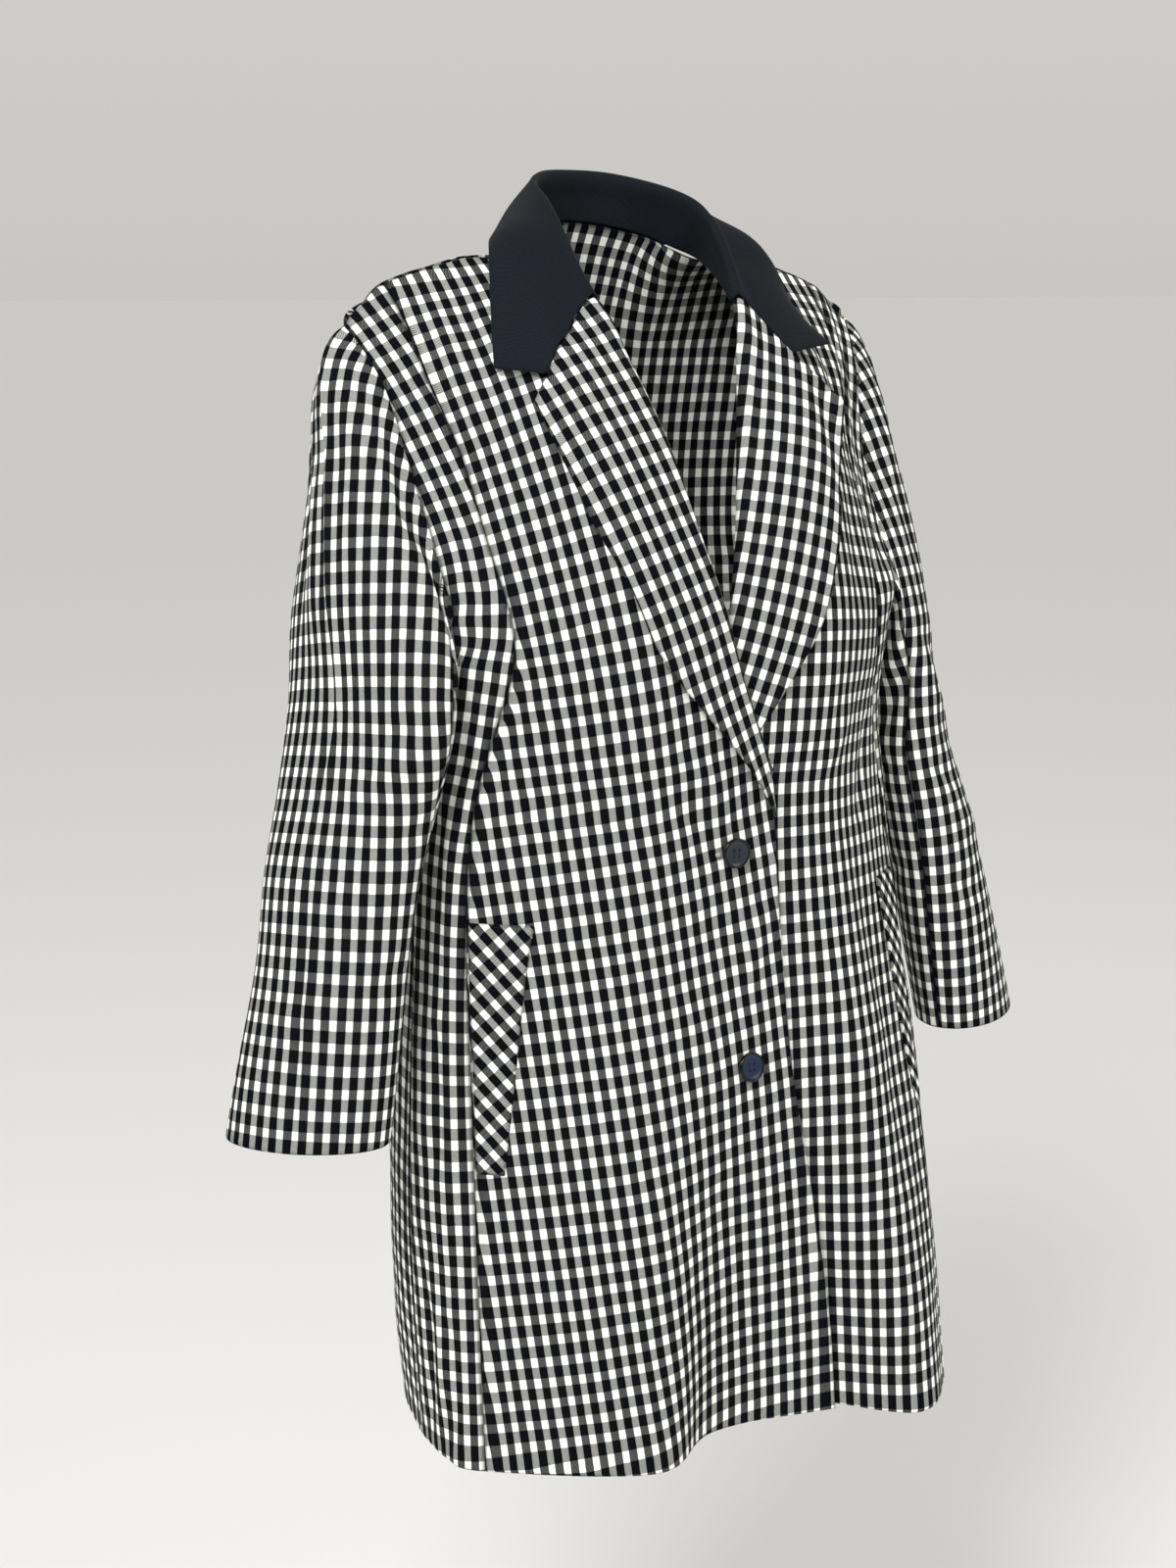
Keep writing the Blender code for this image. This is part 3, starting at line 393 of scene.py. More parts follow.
def edgeWorked(grid, height, edges, seed):
    # rounds each free edge, and sinks each seam into a slightly puckered groove: gives the outer face's
    # height, how far the inner face rises at an edge, and the painted shade put on the cloth at seams and
    # edges
    wall, dip, reach = clothMake["wall"], clothMake["seamDip"], clothMake["seamReach"]
    inner, dark = np.zeros(height.shape), np.zeros(height.shape)
    across, up = runLength(grid, 1), runLength(grid, 0)
    away = {"first": across, "last": across[:, -1:] - across, "bottom": up, "top": up[-1:] - up}
    along = {"first": up, "last": up, "bottom": across, "top": across}
    for side, work in edges.items():
        if work == "edge":
            near = np.clip(1 - away[side] / (1.1 * wall), 0, 1)
            turned = (1 - np.sqrt(np.clip(1 - near**2, 0, 1))) * .44 * wall
            height -= turned
            inner += turned
            # painted shade: a dark line painted beside a free edge, where the edge's shadow falls
            dark = np.maximum(dark, clothMake["edgeShade"] * np.exp(-(away[side] / (.6 * reach))**2))
        elif work == "seam":
            run = along[side] * 2 * math.pi
            uneven = (np.sin(run / .023 + seed) + .7 * np.sin(run / .011 + 2.1 * seed)
                      + .6 * np.sin(run / .041)) * clothMake["pucker"] / 1.6
            groove = np.exp(-(away[side] / reach)**2)
            height -= dip * groove * (1 + .3 * uneven)
            # painted shade: the seam's groove is painted darker, where shade falls in it
            dark = np.maximum(dark, clothMake["seamShade"] * np.exp(-(away[side] / (.8 * reach))**2))
            height += dip * .2 * np.exp(-((away[side] - 3.2 * reach) / (1.8 * reach))**2) * (.6 + uneven)
    return height, inner, dark


def clothPiece(name, outer, inner, flat, dark, finish):
    # one closed shell between two grids of points, with its flat cut as the uv map, in metres
    rows, columns = outer.shape[:2]
    index = np.arange(rows * columns).reshape(rows, columns)
    other = index + rows * columns
    quads = [np.stack([index[:-1, :-1], index[:-1, 1:], index[1:, 1:], index[1:, :-1]], -1).reshape(-1, 4),
             np.stack([other[:-1, :-1], other[1:, :-1], other[1:, 1:], other[:-1, 1:]], -1).reshape(-1, 4)]
    for face, back, flip in ((index[0], other[0], 0), (index[-1], other[-1], 1),
                             (index[:, 0], other[:, 0], 1), (index[:, -1], other[:, -1], 0)):
        rim = np.column_stack([face[:-1], back[:-1], back[1:], face[1:]])
        quads.append(rim[:, ::-1] if flip else rim)
    quads = np.vstack(quads)
    points = np.vstack([outer.reshape(-1, 3), inner.reshape(-1, 3)])
    a, b, c = (points[index[rows // 2, columns // 2]], points[index[rows // 2, columns // 2 + 1]],
               points[index[rows // 2 + 1, columns // 2]])
    if np.dot(np.cross(b - a, c - a), a - points[other[rows // 2, columns // 2]]) < 0:
        quads = quads[:, ::-1]
    mesh = bpy.data.meshes.new(name)
    mesh.from_pydata(points.tolist(), [], quads.tolist())
    cut = mesh.uv_layers.new(name="cut")
    spots = np.vstack([flat.reshape(-1, 2)] * 2)
    loops = np.empty(len(mesh.loops), dtype=np.int32)
    mesh.loops.foreach_get("vertex_index", loops)
    cut.uv.foreach_set("vector", spots[loops].astype(np.float32).ravel())
    # painted shade at seams and edges, kept on the points for the cloth's finish
    shade = mesh.attributes.new("seamShade", "FLOAT", "POINT")
    shade.data.foreach_set("value", np.tile(dark.ravel(), 2).astype(np.float32))
    mesh.shade_smooth()
    mesh.materials.append(finish)
    return linked(name, mesh)


def sewnIn(piece, node):
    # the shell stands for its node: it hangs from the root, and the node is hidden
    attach(piece, "root")
    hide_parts(node)


# ---- finishes
def linear(code):
    # sRGB hex to linear
    values = [int(code[k:k + 2], 16) / 255 for k in (1, 3, 5)]
    return tuple(v / 12.92 if v <= .04045 else ((v + .055) / 1.055)**2.4 for v in values) + (1.0,)


def addNode(tree, kind, values=(), **settings):
    # adds a node: values by input, or in order; a node or socket among them is linked instead
    node = tree.nodes.new(kind)
    for name, value in settings.items():
        setattr(node, name, value)
    for key, value in values.items() if isinstance(values, dict) else enumerate(values):
        if isinstance(value, bpy.types.Node):
            value = value.outputs[0]
        if isinstance(value, bpy.types.NodeSocket):
            tree.links.new(value, node.inputs[key])
        else:
            node.inputs[key].default_value = value
    return node


def newMaterial(name, values):
    made = bpy.data.materials.new(name)
    made.use_nodes = True
    tree = made.node_tree
    tree.nodes.clear()
    shader = addNode(tree, "ShaderNodeBsdfPrincipled", values)
    addNode(tree, "ShaderNodeOutputMaterial", {"Surface": shader})
    return made, tree, shader


def linked(name, data):
    # a new object, put into the scene
    made = bpy.data.objects.new(name, data)
    bpy.context.scene.collection.objects.link(made)
    return made


def evaluated(piece):
    # the mesh that a piece's modifiers make; the piece itself goes
    bpy.context.view_layer.update()
    made = bpy.data.meshes.new_from_object(piece.evaluated_get(bpy.context.evaluated_depsgraph_get()))
    bpy.data.objects.remove(piece)
    return made


# the woven check: white and near-black yarns in even stripes both ways, crossing in a twill
checkCloth = {
    "white": "#f5f6f0", "black": "#07090d",
    "across": 10.9 * mm, "along": 15.8 * mm,     # one repeat of two stripes
    "twills": 5,                # twill lines in each block, 1.1 mm apart: drawn coarser, to show at all
    "blackShare": .56,          # the black stripes look a little wider
    "lightBlock": (.52, .03, .52),     # white warp over black weft: yarn, crossing yarn, its share; the white yarn is painted far darker than white, partly painted shade of the weave's relief, partly standing for the blur of yarns too fine to show
    "darkBlock": (.006, .22, .27),     # black warp over white weft; its white yarn is painted darker in the same way, partly as painted shade
    "wobble": .22 * mm, "wobbles": 420.0,        # how far a thread strays, every 2.4 mm or so
    "slub": .16, "slubs": (900.0, 160.0, 1.0),   # uneven yarn, 1.1 mm across and 6 mm along
    "ridge": .10 * mm, "slubRidge": 1.6, "relief": .5,
}


def wovenCheck(spec):
    # worsted check, twill woven: matt, a little hairy, diagonal lines only where white crosses black
    made, tree, shader = newMaterial("worsted check, twill woven", {
        "Roughness": .9, "Specular IOR Level": .05})
    place = addNode(tree, "ShaderNodeUVMap", uv_map="cut")
    stray = addNode(tree, "ShaderNodeTexNoise", {"Vector": place, "Scale": spec["wobbles"], "Detail": 2.0})
    parts = addNode(tree, "ShaderNodeSeparateXYZ", (place,)).outputs
    shake = addNode(tree, "ShaderNodeMath", (stray, 2 * spec["wobble"], -spec["wobble"]),
                    operation="MULTIPLY_ADD")
    stripes, blackYarn = [], []                # warp first, then weft
    for part, repeat in ((parts[0], spec["across"]), (parts[1], spec["along"])):
        moved = addNode(tree, "ShaderNodeMath", (part, shake), operation="ADD")
        stripe = addNode(tree, "ShaderNodeMath", (moved, repeat), operation="DIVIDE")
        within = addNode(tree, "ShaderNodeMath", (stripe,), operation="FRACT")
        stripes.append(stripe)
        blackYarn.append(addNode(tree, "ShaderNodeMath", (within, 1 - spec["blackShare"]),
                                 operation="GREATER_THAN"))
    leans, blocks = [], []
    for way, (yarn, crossing, share) in (("ADD", spec["lightBlock"]), ("SUBTRACT", spec["darkBlock"])):
        slant = addNode(tree, "ShaderNodeMath", stripes, operation=way)
        lines = addNode(tree, "ShaderNodeMath", (slant, 2.0 * spec["twills"]), operation="MULTIPLY")
        lean = addNode(tree, "ShaderNodeMath", (lines,), operation="FRACT")
        dash = addNode(tree, "ShaderNodeMath", (lean, share), operation="LESS_THAN")
        leans.append(lean)
        blocks.append(addNode(tree, "ShaderNodeMath", (dash, crossing - yarn, yarn),
                              operation="MULTIPLY_ADD"))
    overWhite = addNode(tree, "ShaderNodeMix", {0: blackYarn[1], 2: 1.0, 3: blocks[0]})
    overBlack = addNode(tree, "ShaderNodeMix", {0: blackYarn[1], 2: blocks[1], 3: 0.0})
    white = addNode(tree, "ShaderNodeMix", {0: blackYarn[0], 2: overWhite, 3: overBlack})
    stretch = addNode(tree, "ShaderNodeMapping", {"Vector": place, "Scale": spec["slubs"]})
    slub = addNode(tree, "ShaderNodeTexNoise", {"Vector": stretch, "Scale": 1.0, "Detail": 3.0})
    colour = addNode(tree, "ShaderNodeMix", {0: white, 6: linear(spec["black"]), 7: linear(spec["white"])},
                     data_type="RGBA").outputs[2]
    tone = addNode(tree, "ShaderNodeMath", (slub, 2 * spec["slub"], 1.0 - spec["slub"]),
                   operation="MULTIPLY_ADD")
    toned = addNode(tree, "ShaderNodeMix", {0: 1.0, 6: colour, 7: tone}, data_type="RGBA",
                    blend_type="MULTIPLY").outputs[2]
    # painted shade: the check is mixed towards black in seams and beside free edges
    shade = addNode(tree, "ShaderNodeAttribute", attribute_name="seamShade").outputs["Fac"]
    shaded = addNode(tree, "ShaderNodeMix", {0: shade, 6: toned, 7: linear(spec["black"])},
                     data_type="RGBA")
    tree.links.new(shaded.outputs[2], shader.inputs["Base Color"])
    turned = addNode(tree, "ShaderNodeMath", (leans[0], 2 * math.pi), operation="MULTIPLY")
    ridge = addNode(tree, "ShaderNodeMath", (turned,), operation="SINE")
    uneven = addNode(tree, "ShaderNodeMath", (slub, spec["slubRidge"]), operation="MULTIPLY")
    relief = addNode(tree, "ShaderNodeMath", (ridge, uneven), operation="ADD")
    bump = addNode(tree, "ShaderNodeBump", {"Height": relief, "Distance": spec["ridge"],
                                            "Strength": spec["relief"]})
    tree.links.new(bump.outputs[0], shader.inputs["Normal"])
    return made


# the collar's plain cloth
collarCloth = {
    # the light colour is a painted highlight along the twill's ridges; the dark lies in its hollows
    "dark": "#020306", "light": "#1c222a",
    "twill": 1.5 * mm,          # between diagonal lines: drawn coarser than the real ones, to show
    "slant": 1.25, "slubs": 700.0,               # yarn unevenness every 1.4 mm or so
    "ridge": .12 * mm, "relief": .6,
}


def plainTwill(spec):
    # plain worsted twill: navy-black with fine diagonal lines painted lighter along their ridges as painted
    # highlight, and the yarn's uneven tone
    made, tree, shader = newMaterial("plain worsted twill", {
        "Roughness": .8, "Sheen Weight": .02, "Sheen Roughness": .4, "Specular IOR Level": .12})
    place = addNode(tree, "ShaderNodeUVMap", uv_map="cut")
    parts = addNode(tree, "ShaderNodeSeparateXYZ", (place,)).outputs
    slub = addNode(tree, "ShaderNodeTexNoise", {"Vector": place, "Scale": spec["slubs"], "Detail": 3.0})
    slanted = addNode(tree, "ShaderNodeMath", (parts[0], spec["slant"]), operation="MULTIPLY")
    lean = addNode(tree, "ShaderNodeMath", (slanted, parts[1]), operation="ADD")
    turned = addNode(tree, "ShaderNodeMath", (lean, 2 * math.pi / spec["twill"]), operation="MULTIPLY")
    wave = addNode(tree, "ShaderNodeMath", (turned,), operation="SINE")
    uneven = addNode(tree, "ShaderNodeMath", (slub, .9), operation="MULTIPLY")
    height = addNode(tree, "ShaderNodeMath", (wave, .5, uneven), operation="MULTIPLY_ADD")
    # painted highlight: lighter on the twill's ridges, with the yarn's real unevenness mixed in
    share = addNode(tree, "ShaderNodeMath", (height, .8), operation="MULTIPLY")
    yarn = addNode(tree, "ShaderNodeMix", {0: share, 6: linear(spec["dark"]), 7: linear(spec["light"])},
                   data_type="RGBA")
    tree.links.new(yarn.outputs[2], shader.inputs["Base Color"])
    bump = addNode(tree, "ShaderNodeBump", {"Height": height, "Distance": spec["ridge"],
                                            "Strength": spec["relief"]})
    tree.links.new(bump.outputs[0], shader.inputs["Normal"])
    return made


checked = wovenCheck(checkCloth)
plain = plainTwill(collarCloth)
print("cloth finishes made")


# ---- the body's five panels
panelPlaces = {
    "rows": spread([95, 90, 100, 110, 82, 53, 48, 42, 57, 60, 58, 45, 45] * np.array(mm),
                   clothMake["spacing"]),
    "front": spread([90 * mm] * 3, clothMake["spacing"]),
    "flank": spread([45 * mm] * 2, clothMake["spacing"]),
    "back": spread([45, 55, 62, 38, 38, 38, 38, 62, 55, 45] * np.array(mm), clothMake["spacing"]),
}
# (line, level) to (line, level), width and height in mm
panelCreases = {
    "front_right": [
        (2.35, 12.3, 2.70, 10.0, 7, -3.0), (2.62, 12.4, 2.84, 10.6, 6, 2.4),   # down from the shoulder
        (2.05, 12.2, 2.40, 10.4, 9, -1.6),
        (2.55, 9.6, 2.25, 8.4, 11, -1.8),                                         # over the bust
        (1.35, 5.9, 0.85, 4.9, 10, 2.2), (1.75, 5.6, 1.05, 4.5, 9, -1.8),      # to the upper button
        (1.15, 4.2, 0.82, 3.3, 9, -1.6), (0.62, 3.55, 0.30, 4.15, 8, 2.4),        # between the buttons
        (1.55, 3.6, 0.95, 2.6, 12, 2.0), (1.15, 2.3, 0.75, 0.5, 14, -2.4),
        (1.85, 2.4, 1.60, 0.3, 15, 2.4), (2.30, 2.2, 2.15, 0.2, 13, -2.2),
        (2.70, 5.4, 2.55, 4.3, 8, -1.6)],
    "side_front_right": [
        (3.45, 9.6, 3.75, 8.4, 6, -2.4), (4.45, 8.7, 4.10, 7.6, 6, 2.2),
        (3.55, 6.9, 3.50, 5.2, 4.5, -2.6), (3.95, 6.8, 3.90, 4.9, 4.5, 2.2),
        (4.40, 6.7, 4.35, 4.8, 5, -2.4),
        (4.20, 3.4, 4.05, 2.3, 7, -3.4), (3.75, 3.2, 3.70, 1.6, 7, 2.2),
        (4.55, 1.6, 4.50, 0.1, 5, -3.0), (4.15, 1.3, 4.15, 0.1, 5, 2.4), (3.65, 1.2, 3.62, 0.1, 5, -2.2)],
    "front_left": [
        (2.45, 12.2, 2.68, 10.2, 8, -2.6), (2.15, 12.1, 2.45, 10.4, 8, 2.0),
        (2.50, 9.5, 2.30, 7.6, 10, -1.8), (2.30, 6.4, 1.70, 5.2, 10, 1.9), (2.65, 6.0, 2.35, 4.6, 8, -2.6),
        (2.20, 4.4, 2.25, 1.8, 13, -3.0), (1.55, 4.0, 1.60, 1.2, 14, 2.4), (2.62, 3.6, 2.66, 0.8, 10, 2.2),
        (1.10, 2.6, 1.15, 0.3, 12, -2.0)],
    "side_front_left": [
        (3.50, 9.5, 3.85, 8.3, 7, -2.4), (4.40, 8.6, 4.15, 7.6, 6, 2.0),
        (3.65, 6.8, 3.60, 5.0, 5, -2.4), (4.25, 6.6, 4.20, 4.7, 5, 2.2),
        (3.80, 3.4, 3.75, 1.4, 8, -2.6), (4.40, 2.8, 4.35, 0.6, 8, 2.4)],
    "back": [
        (1.30, 12.4, 1.75, 10.9, 10, -2.2), (8.70, 12.3, 8.30, 10.8, 9, -2.4),    # below the shoulders
        (0.75, 9.4, 1.25, 8.2, 9, 2.6), (9.20, 9.5, 8.70, 8.1, 10, 2.4),          # behind the armholes
        (1.05, 8.6, 1.45, 7.3, 8, -2.2), (8.95, 8.5, 8.50, 7.2, 8, -2.4),
        (2.60, 5.7, 4.60, 5.4, 12, 2.2), (7.30, 5.2, 5.60, 5.5, 11, -2.0),        # across the hollow
        (2.10, 4.9, 3.60, 4.6, 11, -1.9),
        (1.60, 3.6, 1.50, 0.5, 15, -3.0), (3.20, 3.2, 3.25, 0.3, 16, 2.6),
        (5.30, 3.0, 5.25, 0.2, 17, -2.6), (7.20, 3.4, 7.30, 0.4, 15, 2.8),
        (8.60, 3.1, 8.70, 0.3, 13, -3.0)],
}
panelWaves = {"size": 120, "height": .9, "fineSize": 34, "fineHeight": .22}

rows = panelPlaces["rows"]
frontColumns = np.concatenate([panelPlaces["front"], 3 + panelPlaces["flank"][1:]])
seamColumn = len(panelPlaces["front"]) - 1
fine = bodyGrids(rows, frontColumns, panelPlaces["back"])
coarseRows = np.linspace(0, topLevel, 2 * topLevel + 1)
neckColumn = 10
shoulderColumns = np.linspace(0, 3, neckColumn + 1)
coarse = bodyGrids(coarseRows, np.linspace(0, 5, 11),
                   np.concatenate([shoulderColumns, np.linspace(3, 7, 9)[1:-1],
                                   10 - shoulderColumns[::-1]]))


def bodyPanel(name, side, columns, columnPlaces, edges, grain, seed):
    # one panel of the body with its folds
    grid, normals = (made[:, columns] for made in fine[side])
    flat = onGrain(flatCut(grid), *grain, facesOut(grid, normals))
    across = runLength(grid, 1)
    calm = np.ones(across.shape)               # folds die away at a seam
    for edge, away in (("first", across), ("last", across[:, -1:] - across)):
        if edges[edge] == "seam":
            calm *= np.clip(away / (14 * mm), 0, 1)
    folds = creased(flat, rows, columnPlaces, panelCreases[name]) * calm
    height = folds + waviness(flat, seed, panelWaves["size"], panelWaves["height"]) * calm
    height += waviness(flat, seed + 50, panelWaves["fineSize"], panelWaves["fineHeight"]) * calm
    height, lift, dark = edgeWorked(grid, height, edges, seed)
    soft = softened(normals.copy(), 2)
    outer = grid + soft * height[..., None]
    inner = grid + soft * (folds - clothMake["wall"] + lift)[..., None]
    sewnIn(clothPiece(name + "_cloth", outer, inner, flat, dark, checked), name)


last = len(rows) - 1
front = slice(0, seamColumn + 1)
flank = slice(seamColumn, len(frontColumns))
frontEdges = {"first": "edge", "last": "seam", "bottom": "edge", "top": "seam"}
seamEdges = {"first": "seam", "last": "seam", "bottom": "edge", "top": "seam"}
waistRow = int(np.argmin(abs(rows - 5)))
middle = (len(frontColumns) - seamColumn) // 2
flankGrain = ((0, middle), (waistRow, middle))
for k, side in enumerate(("right", "left")):
    bodyPanel("front_" + side, side, front, frontColumns[front], frontEdges, ((0, 4), (waistRow, 4)), 3 + k)
    bodyPanel("side_front_" + side, side, flank, frontColumns[flank], seamEdges, flankGrain, 7 + k)
centre = len(panelPlaces["back"]) // 2
bodyPanel("back", "back", slice(None), panelPlaces["back"], seamEdges, ((0, centre), (last, centre)), 11)
print("fronts, side fronts and back made")

# ---- sleeves, as rings down from the armhole to the cuff
sleeveMake = {"start": 8 * mm, "headRings": (.36, .68), "outerBulge": 9 * mm, "frontBulge": 5 * mm,
              "backBulge": 12 * mm, "frontSeam": 108, "backSeam": 236, "spacing": 4.4 * mm,
              # how the head leaves the armhole, on top, at the armpit and in front
              "leaveTop": (-.8, 0, -.6), "leaveLow": (-.25, 0, -1), "leaveFront": (0, -.35, 0),
              "tuckFade": 4 * mm}                # how soon the head comes out from under its edge
# sections from the armpit down, as on the right: centre, half sizes outwards and forwards in mm, and
# how far the outward axis turns to the front and tips up; the right arm is further forward at its top
foreArm = {
    "elbow": {"centre": (-257, -54, -425), "out": 38, "fore": 60, "turn": 30, "tip": 8},
    "forearm": {"centre": (-269, -62.5, -480), "out": 37.8, "fore": 57, "turn": 36, "tip": 6},
    "wrist": {"centre": (-283, -68, -545), "out": 38, "fore": 58, "turn": 43, "tip": 5},
    "cuff": {"centre": (-296.5, -71.5, -608), "out": 38.6, "fore": 59.5, "turn": 48, "tip": 4},
}
sleeveSections = {
    "right": {
        "armpit": {"centre": (-232.5, -51, -319), "out": 35, "fore": 81, "turn": 13, "tip": 31.3},
        "upper arm": {"centre": (-243, -48, -375), "out": 37, "fore": 67, "turn": 22, "tip": 12}, **foreArm},
    "left": {
        "armpit": {"centre": (-236.5, -29, -319), "out": 35, "fore": 70, "turn": 12, "tip": 31.3},
        "upper arm": {"centre": (-244, -41, -375), "out": 37, "fore": 64, "turn": 22, "tip": 12}, **foreArm},
}
# (turn round in degrees, ring) to (turn, ring), width and height in mm; ring 4 is at the armpit
sleeveCreases = {
    "top_sleeve_right": [
        # from the head
        (-38, .6, -30, 3.4, 4.5, -2.6), (-22, .7, -17, 3.6, 4.5, 2.2), (-8, .5, -6, 3.2, 4, -2.4),
        (12, .8, 9, 3.0, 5, 1.8), (52, .9, 44, 2.6, 5, -2.0), (78, 1.4, 66, 2.9, 6, 1.8),
        # at the elbow
        (84, 3.3, 40, 4.3, 10, -2.4), (70, 4.2, 20, 5.0, 11, 2.4), (92, 5.1, 45, 5.6, 9, -2.4),
        (60, 6.0, 5, 6.5, 12, 2.0), (88, 6.9, 40, 7.4, 10, -1.8), (30, 7.3, -25, 7.7, 12, 1.6)],
    "under_sleeve_right": [
        (120, 2.6, 138, 4.6, 5, -2.8), (140, 2.8, 152, 4.9, 5, 2.4), (165, 3.2, 150, 4.6, 6, -2.4),
        (118, 5.2, 165, 5.7, 9, -2.6), (205, 5.4, 165, 6.0, 9, 2.4), (125, 6.6, 170, 7.1, 10, -1.9)],
    "top_sleeve_left": [
        (-35, .6, -28, 3.2, 5, -2.4), (-15, .6, -11, 3.4, 5, 2.2), (14, .7, 11, 3.1, 5, -2.0),
        (58, 1.0, 48, 2.8, 6, -2.2), (80, 3.2, 30, 4.4, 10, -2.6), (64, 4.3, 10, 5.2, 11, 2.4),
        (90, 5.2, 42, 5.8, 9, -2.2), (55, 6.2, 0, 6.6, 12, 1.9), (85, 7.0, 35, 7.4, 10, -1.8)],
    "under_sleeve_left": [
        (122, 2.7, 140, 4.7, 5, -2.6), (150, 2.9, 158, 4.8, 6, 2.4), (120, 5.1, 168, 5.6, 9, -2.6),
        (208, 5.5, 168, 6.1, 9, 2.2), (128, 6.7, 172, 7.1, 10, -1.8)],
}


def sleeveGrid(side, armholePoints, panelNormals):
    # outer points and normals, rows from the armhole down, and each column's turn in degrees
    length = np.linalg.norm(np.roll(armholePoints, -1, axis=0) - armholePoints, axis=1)
    half = len(armholePoints) // 2
    ahead = np.concatenate([[0], np.cumsum(length[:half])]) / length[:half].sum()
    behind = np.concatenate([[0], np.cumsum(length[half:])]) / length[half:].sum()
    angle = math.pi * np.concatenate([ahead[:-1], 1 + behind[:-1]])
    cosine, sine = np.cos(angle)[:, None], np.sin(angle)[:, None]
    sections = []
    for section in sleeveSections[side].values():
        turn, tip = math.radians(section["turn"]), math.radians(section["tip"])
        level = math.cos(tip)
        outward = np.array((-math.cos(turn) * level, -math.sin(turn) * level, math.sin(tip)))
        forward = np.array((math.sin(turn), -math.cos(turn), 0))
        around = cosine * section["out"] * outward + sine * section["fore"] * forward
        sections.append((np.array(section["centre"]) + around) * mm)
    upper, low = (1 + cosine) / 2, np.clip(-cosine, 0, 1)      # near 1 on top, and at the armpit
    leave = unit(upper * sleeveMake["leaveTop"] + (1 - upper) * sleeveMake["leaveLow"]
                 + sine * sleeveMake["leaveFront"])
    head = [armholePoints + leave * sleeveMake["start"]]
    for share in sleeveMake["headRings"]:
        straight = head[0] + (sections[0] - head[0]) * share
        away = unit((straight - straight.mean(axis=0)) * (1, 1, 0))
        bulge = (sleeveMake["outerBulge"] * upper + sleeveMake["frontBulge"] * np.clip(sine, 0, 1)
                 + sleeveMake["backBulge"] * np.clip(-sine, 0, 1))
        head.append(straight + away * bulge * math.sin(math.pi * share))
    gap = clothMake["seamGap"]
    rings = np.stack([armholePoints + low * (0, 0, gap) - (gap, 0, 0), *head, *sections])
    knots = runLength(rings)
    spans = np.diff(knots.mean(1))
    places = spread(spans, sleeveMake["spacing"])
    columns = []
    for c in range(rings.shape[1]):
        at = np.interp(places, np.arange(len(rings)), knots[:, c])
        columns.append(curveThrough(rings[:, c], at, knots[:, c]))
    grid = np.stack(columns, axis=1)
    normals = gridNormals(grid, around=True)
    if (normals * (grid - grid.mean(axis=1, keepdims=True))).sum() < 0:
        normals *= -1
    normals = softened(normals, 6, around=True)
    # the head starts a little under the edge of the armhole
    down = knots.mean(1)[0] + np.interp(places, np.arange(len(rings)), knots.mean(1))
    ease = np.exp(-down[:, None] / sleeveMake["tuckFade"])
    grid = grid - panelNormals[None] * (ease * clothMake["tuck"])[..., None]
    return grid, normals, places, np.degrees(angle)


def buildSleeve(side, column):
    flip = np.array((1, 1, 1) if side == "right" else (-1, 1, 1))
    start = int(np.argmin(abs(rows - underarm)))
    ahead, behind = fine[side], fine["back"]
    points = np.vstack([(ahead[0][start:, -1] * flip)[::-1], (behind[0][start:, column] * flip)[1:-1]])
    turned = np.vstack([(ahead[1][start:, -1] * flip)[::-1], (behind[1][start:, column] * flip)[1:-1]])
    grid, normals, places, angle = sleeveGrid(side, points, turned)
    grid, normals, rowPlaces = (grid * flip)[::-1], (normals * flip)[::-1], -places[::-1]
    count = len(angle)
    frontSeam = int(np.argmin(abs(angle - sleeveMake["frontSeam"])))
    backSeam = int(np.argmin(abs(angle - sleeveMake["backSeam"])))
    topColumns = [c % count for c in range(backSeam, count + frontSeam + 1)]
    topTurns = np.concatenate([angle[backSeam:] - 360, angle[:frontSeam + 1]])
    underColumns = list(range(frontSeam, backSeam + 1))
    edges = {"first": "seam", "last": "seam", "bottom": "edge", "top": "none"}
    for kind, picked, turns in (("top_sleeve_", topColumns, topTurns),
                                ("under_sleeve_", underColumns, angle[underColumns])):
        name = kind + side
        piece, facing = grid[:, picked], normals[:, picked]
        middle, third = len(picked) // 2, len(rowPlaces) // 2
        flat = onGrain(flatCut(piece), (0, middle), (third, middle), facesOut(piece, facing))
        creases = [(c0, -r0, c1, -r1, width, rise) for c0, r0, c1, r1, width, rise in sleeveCreases[name]]
        folds = creased(flat, rowPlaces, turns, creases)
        height = folds + waviness(flat, 21 + column + len(picked), 90, .8)
        height, lift, dark = edgeWorked(piece, height, edges, 5 + len(picked))
        outer = piece + facing * height[..., None]
        inner = piece + facing * (folds - clothMake["wall"] + lift)[..., None]
        sewnIn(clothPiece(name + "_cloth", outer, inner, flat, dark, checked), name)


buildSleeve("right", 0)
buildSleeve("left", -1)
print("sleeves made")

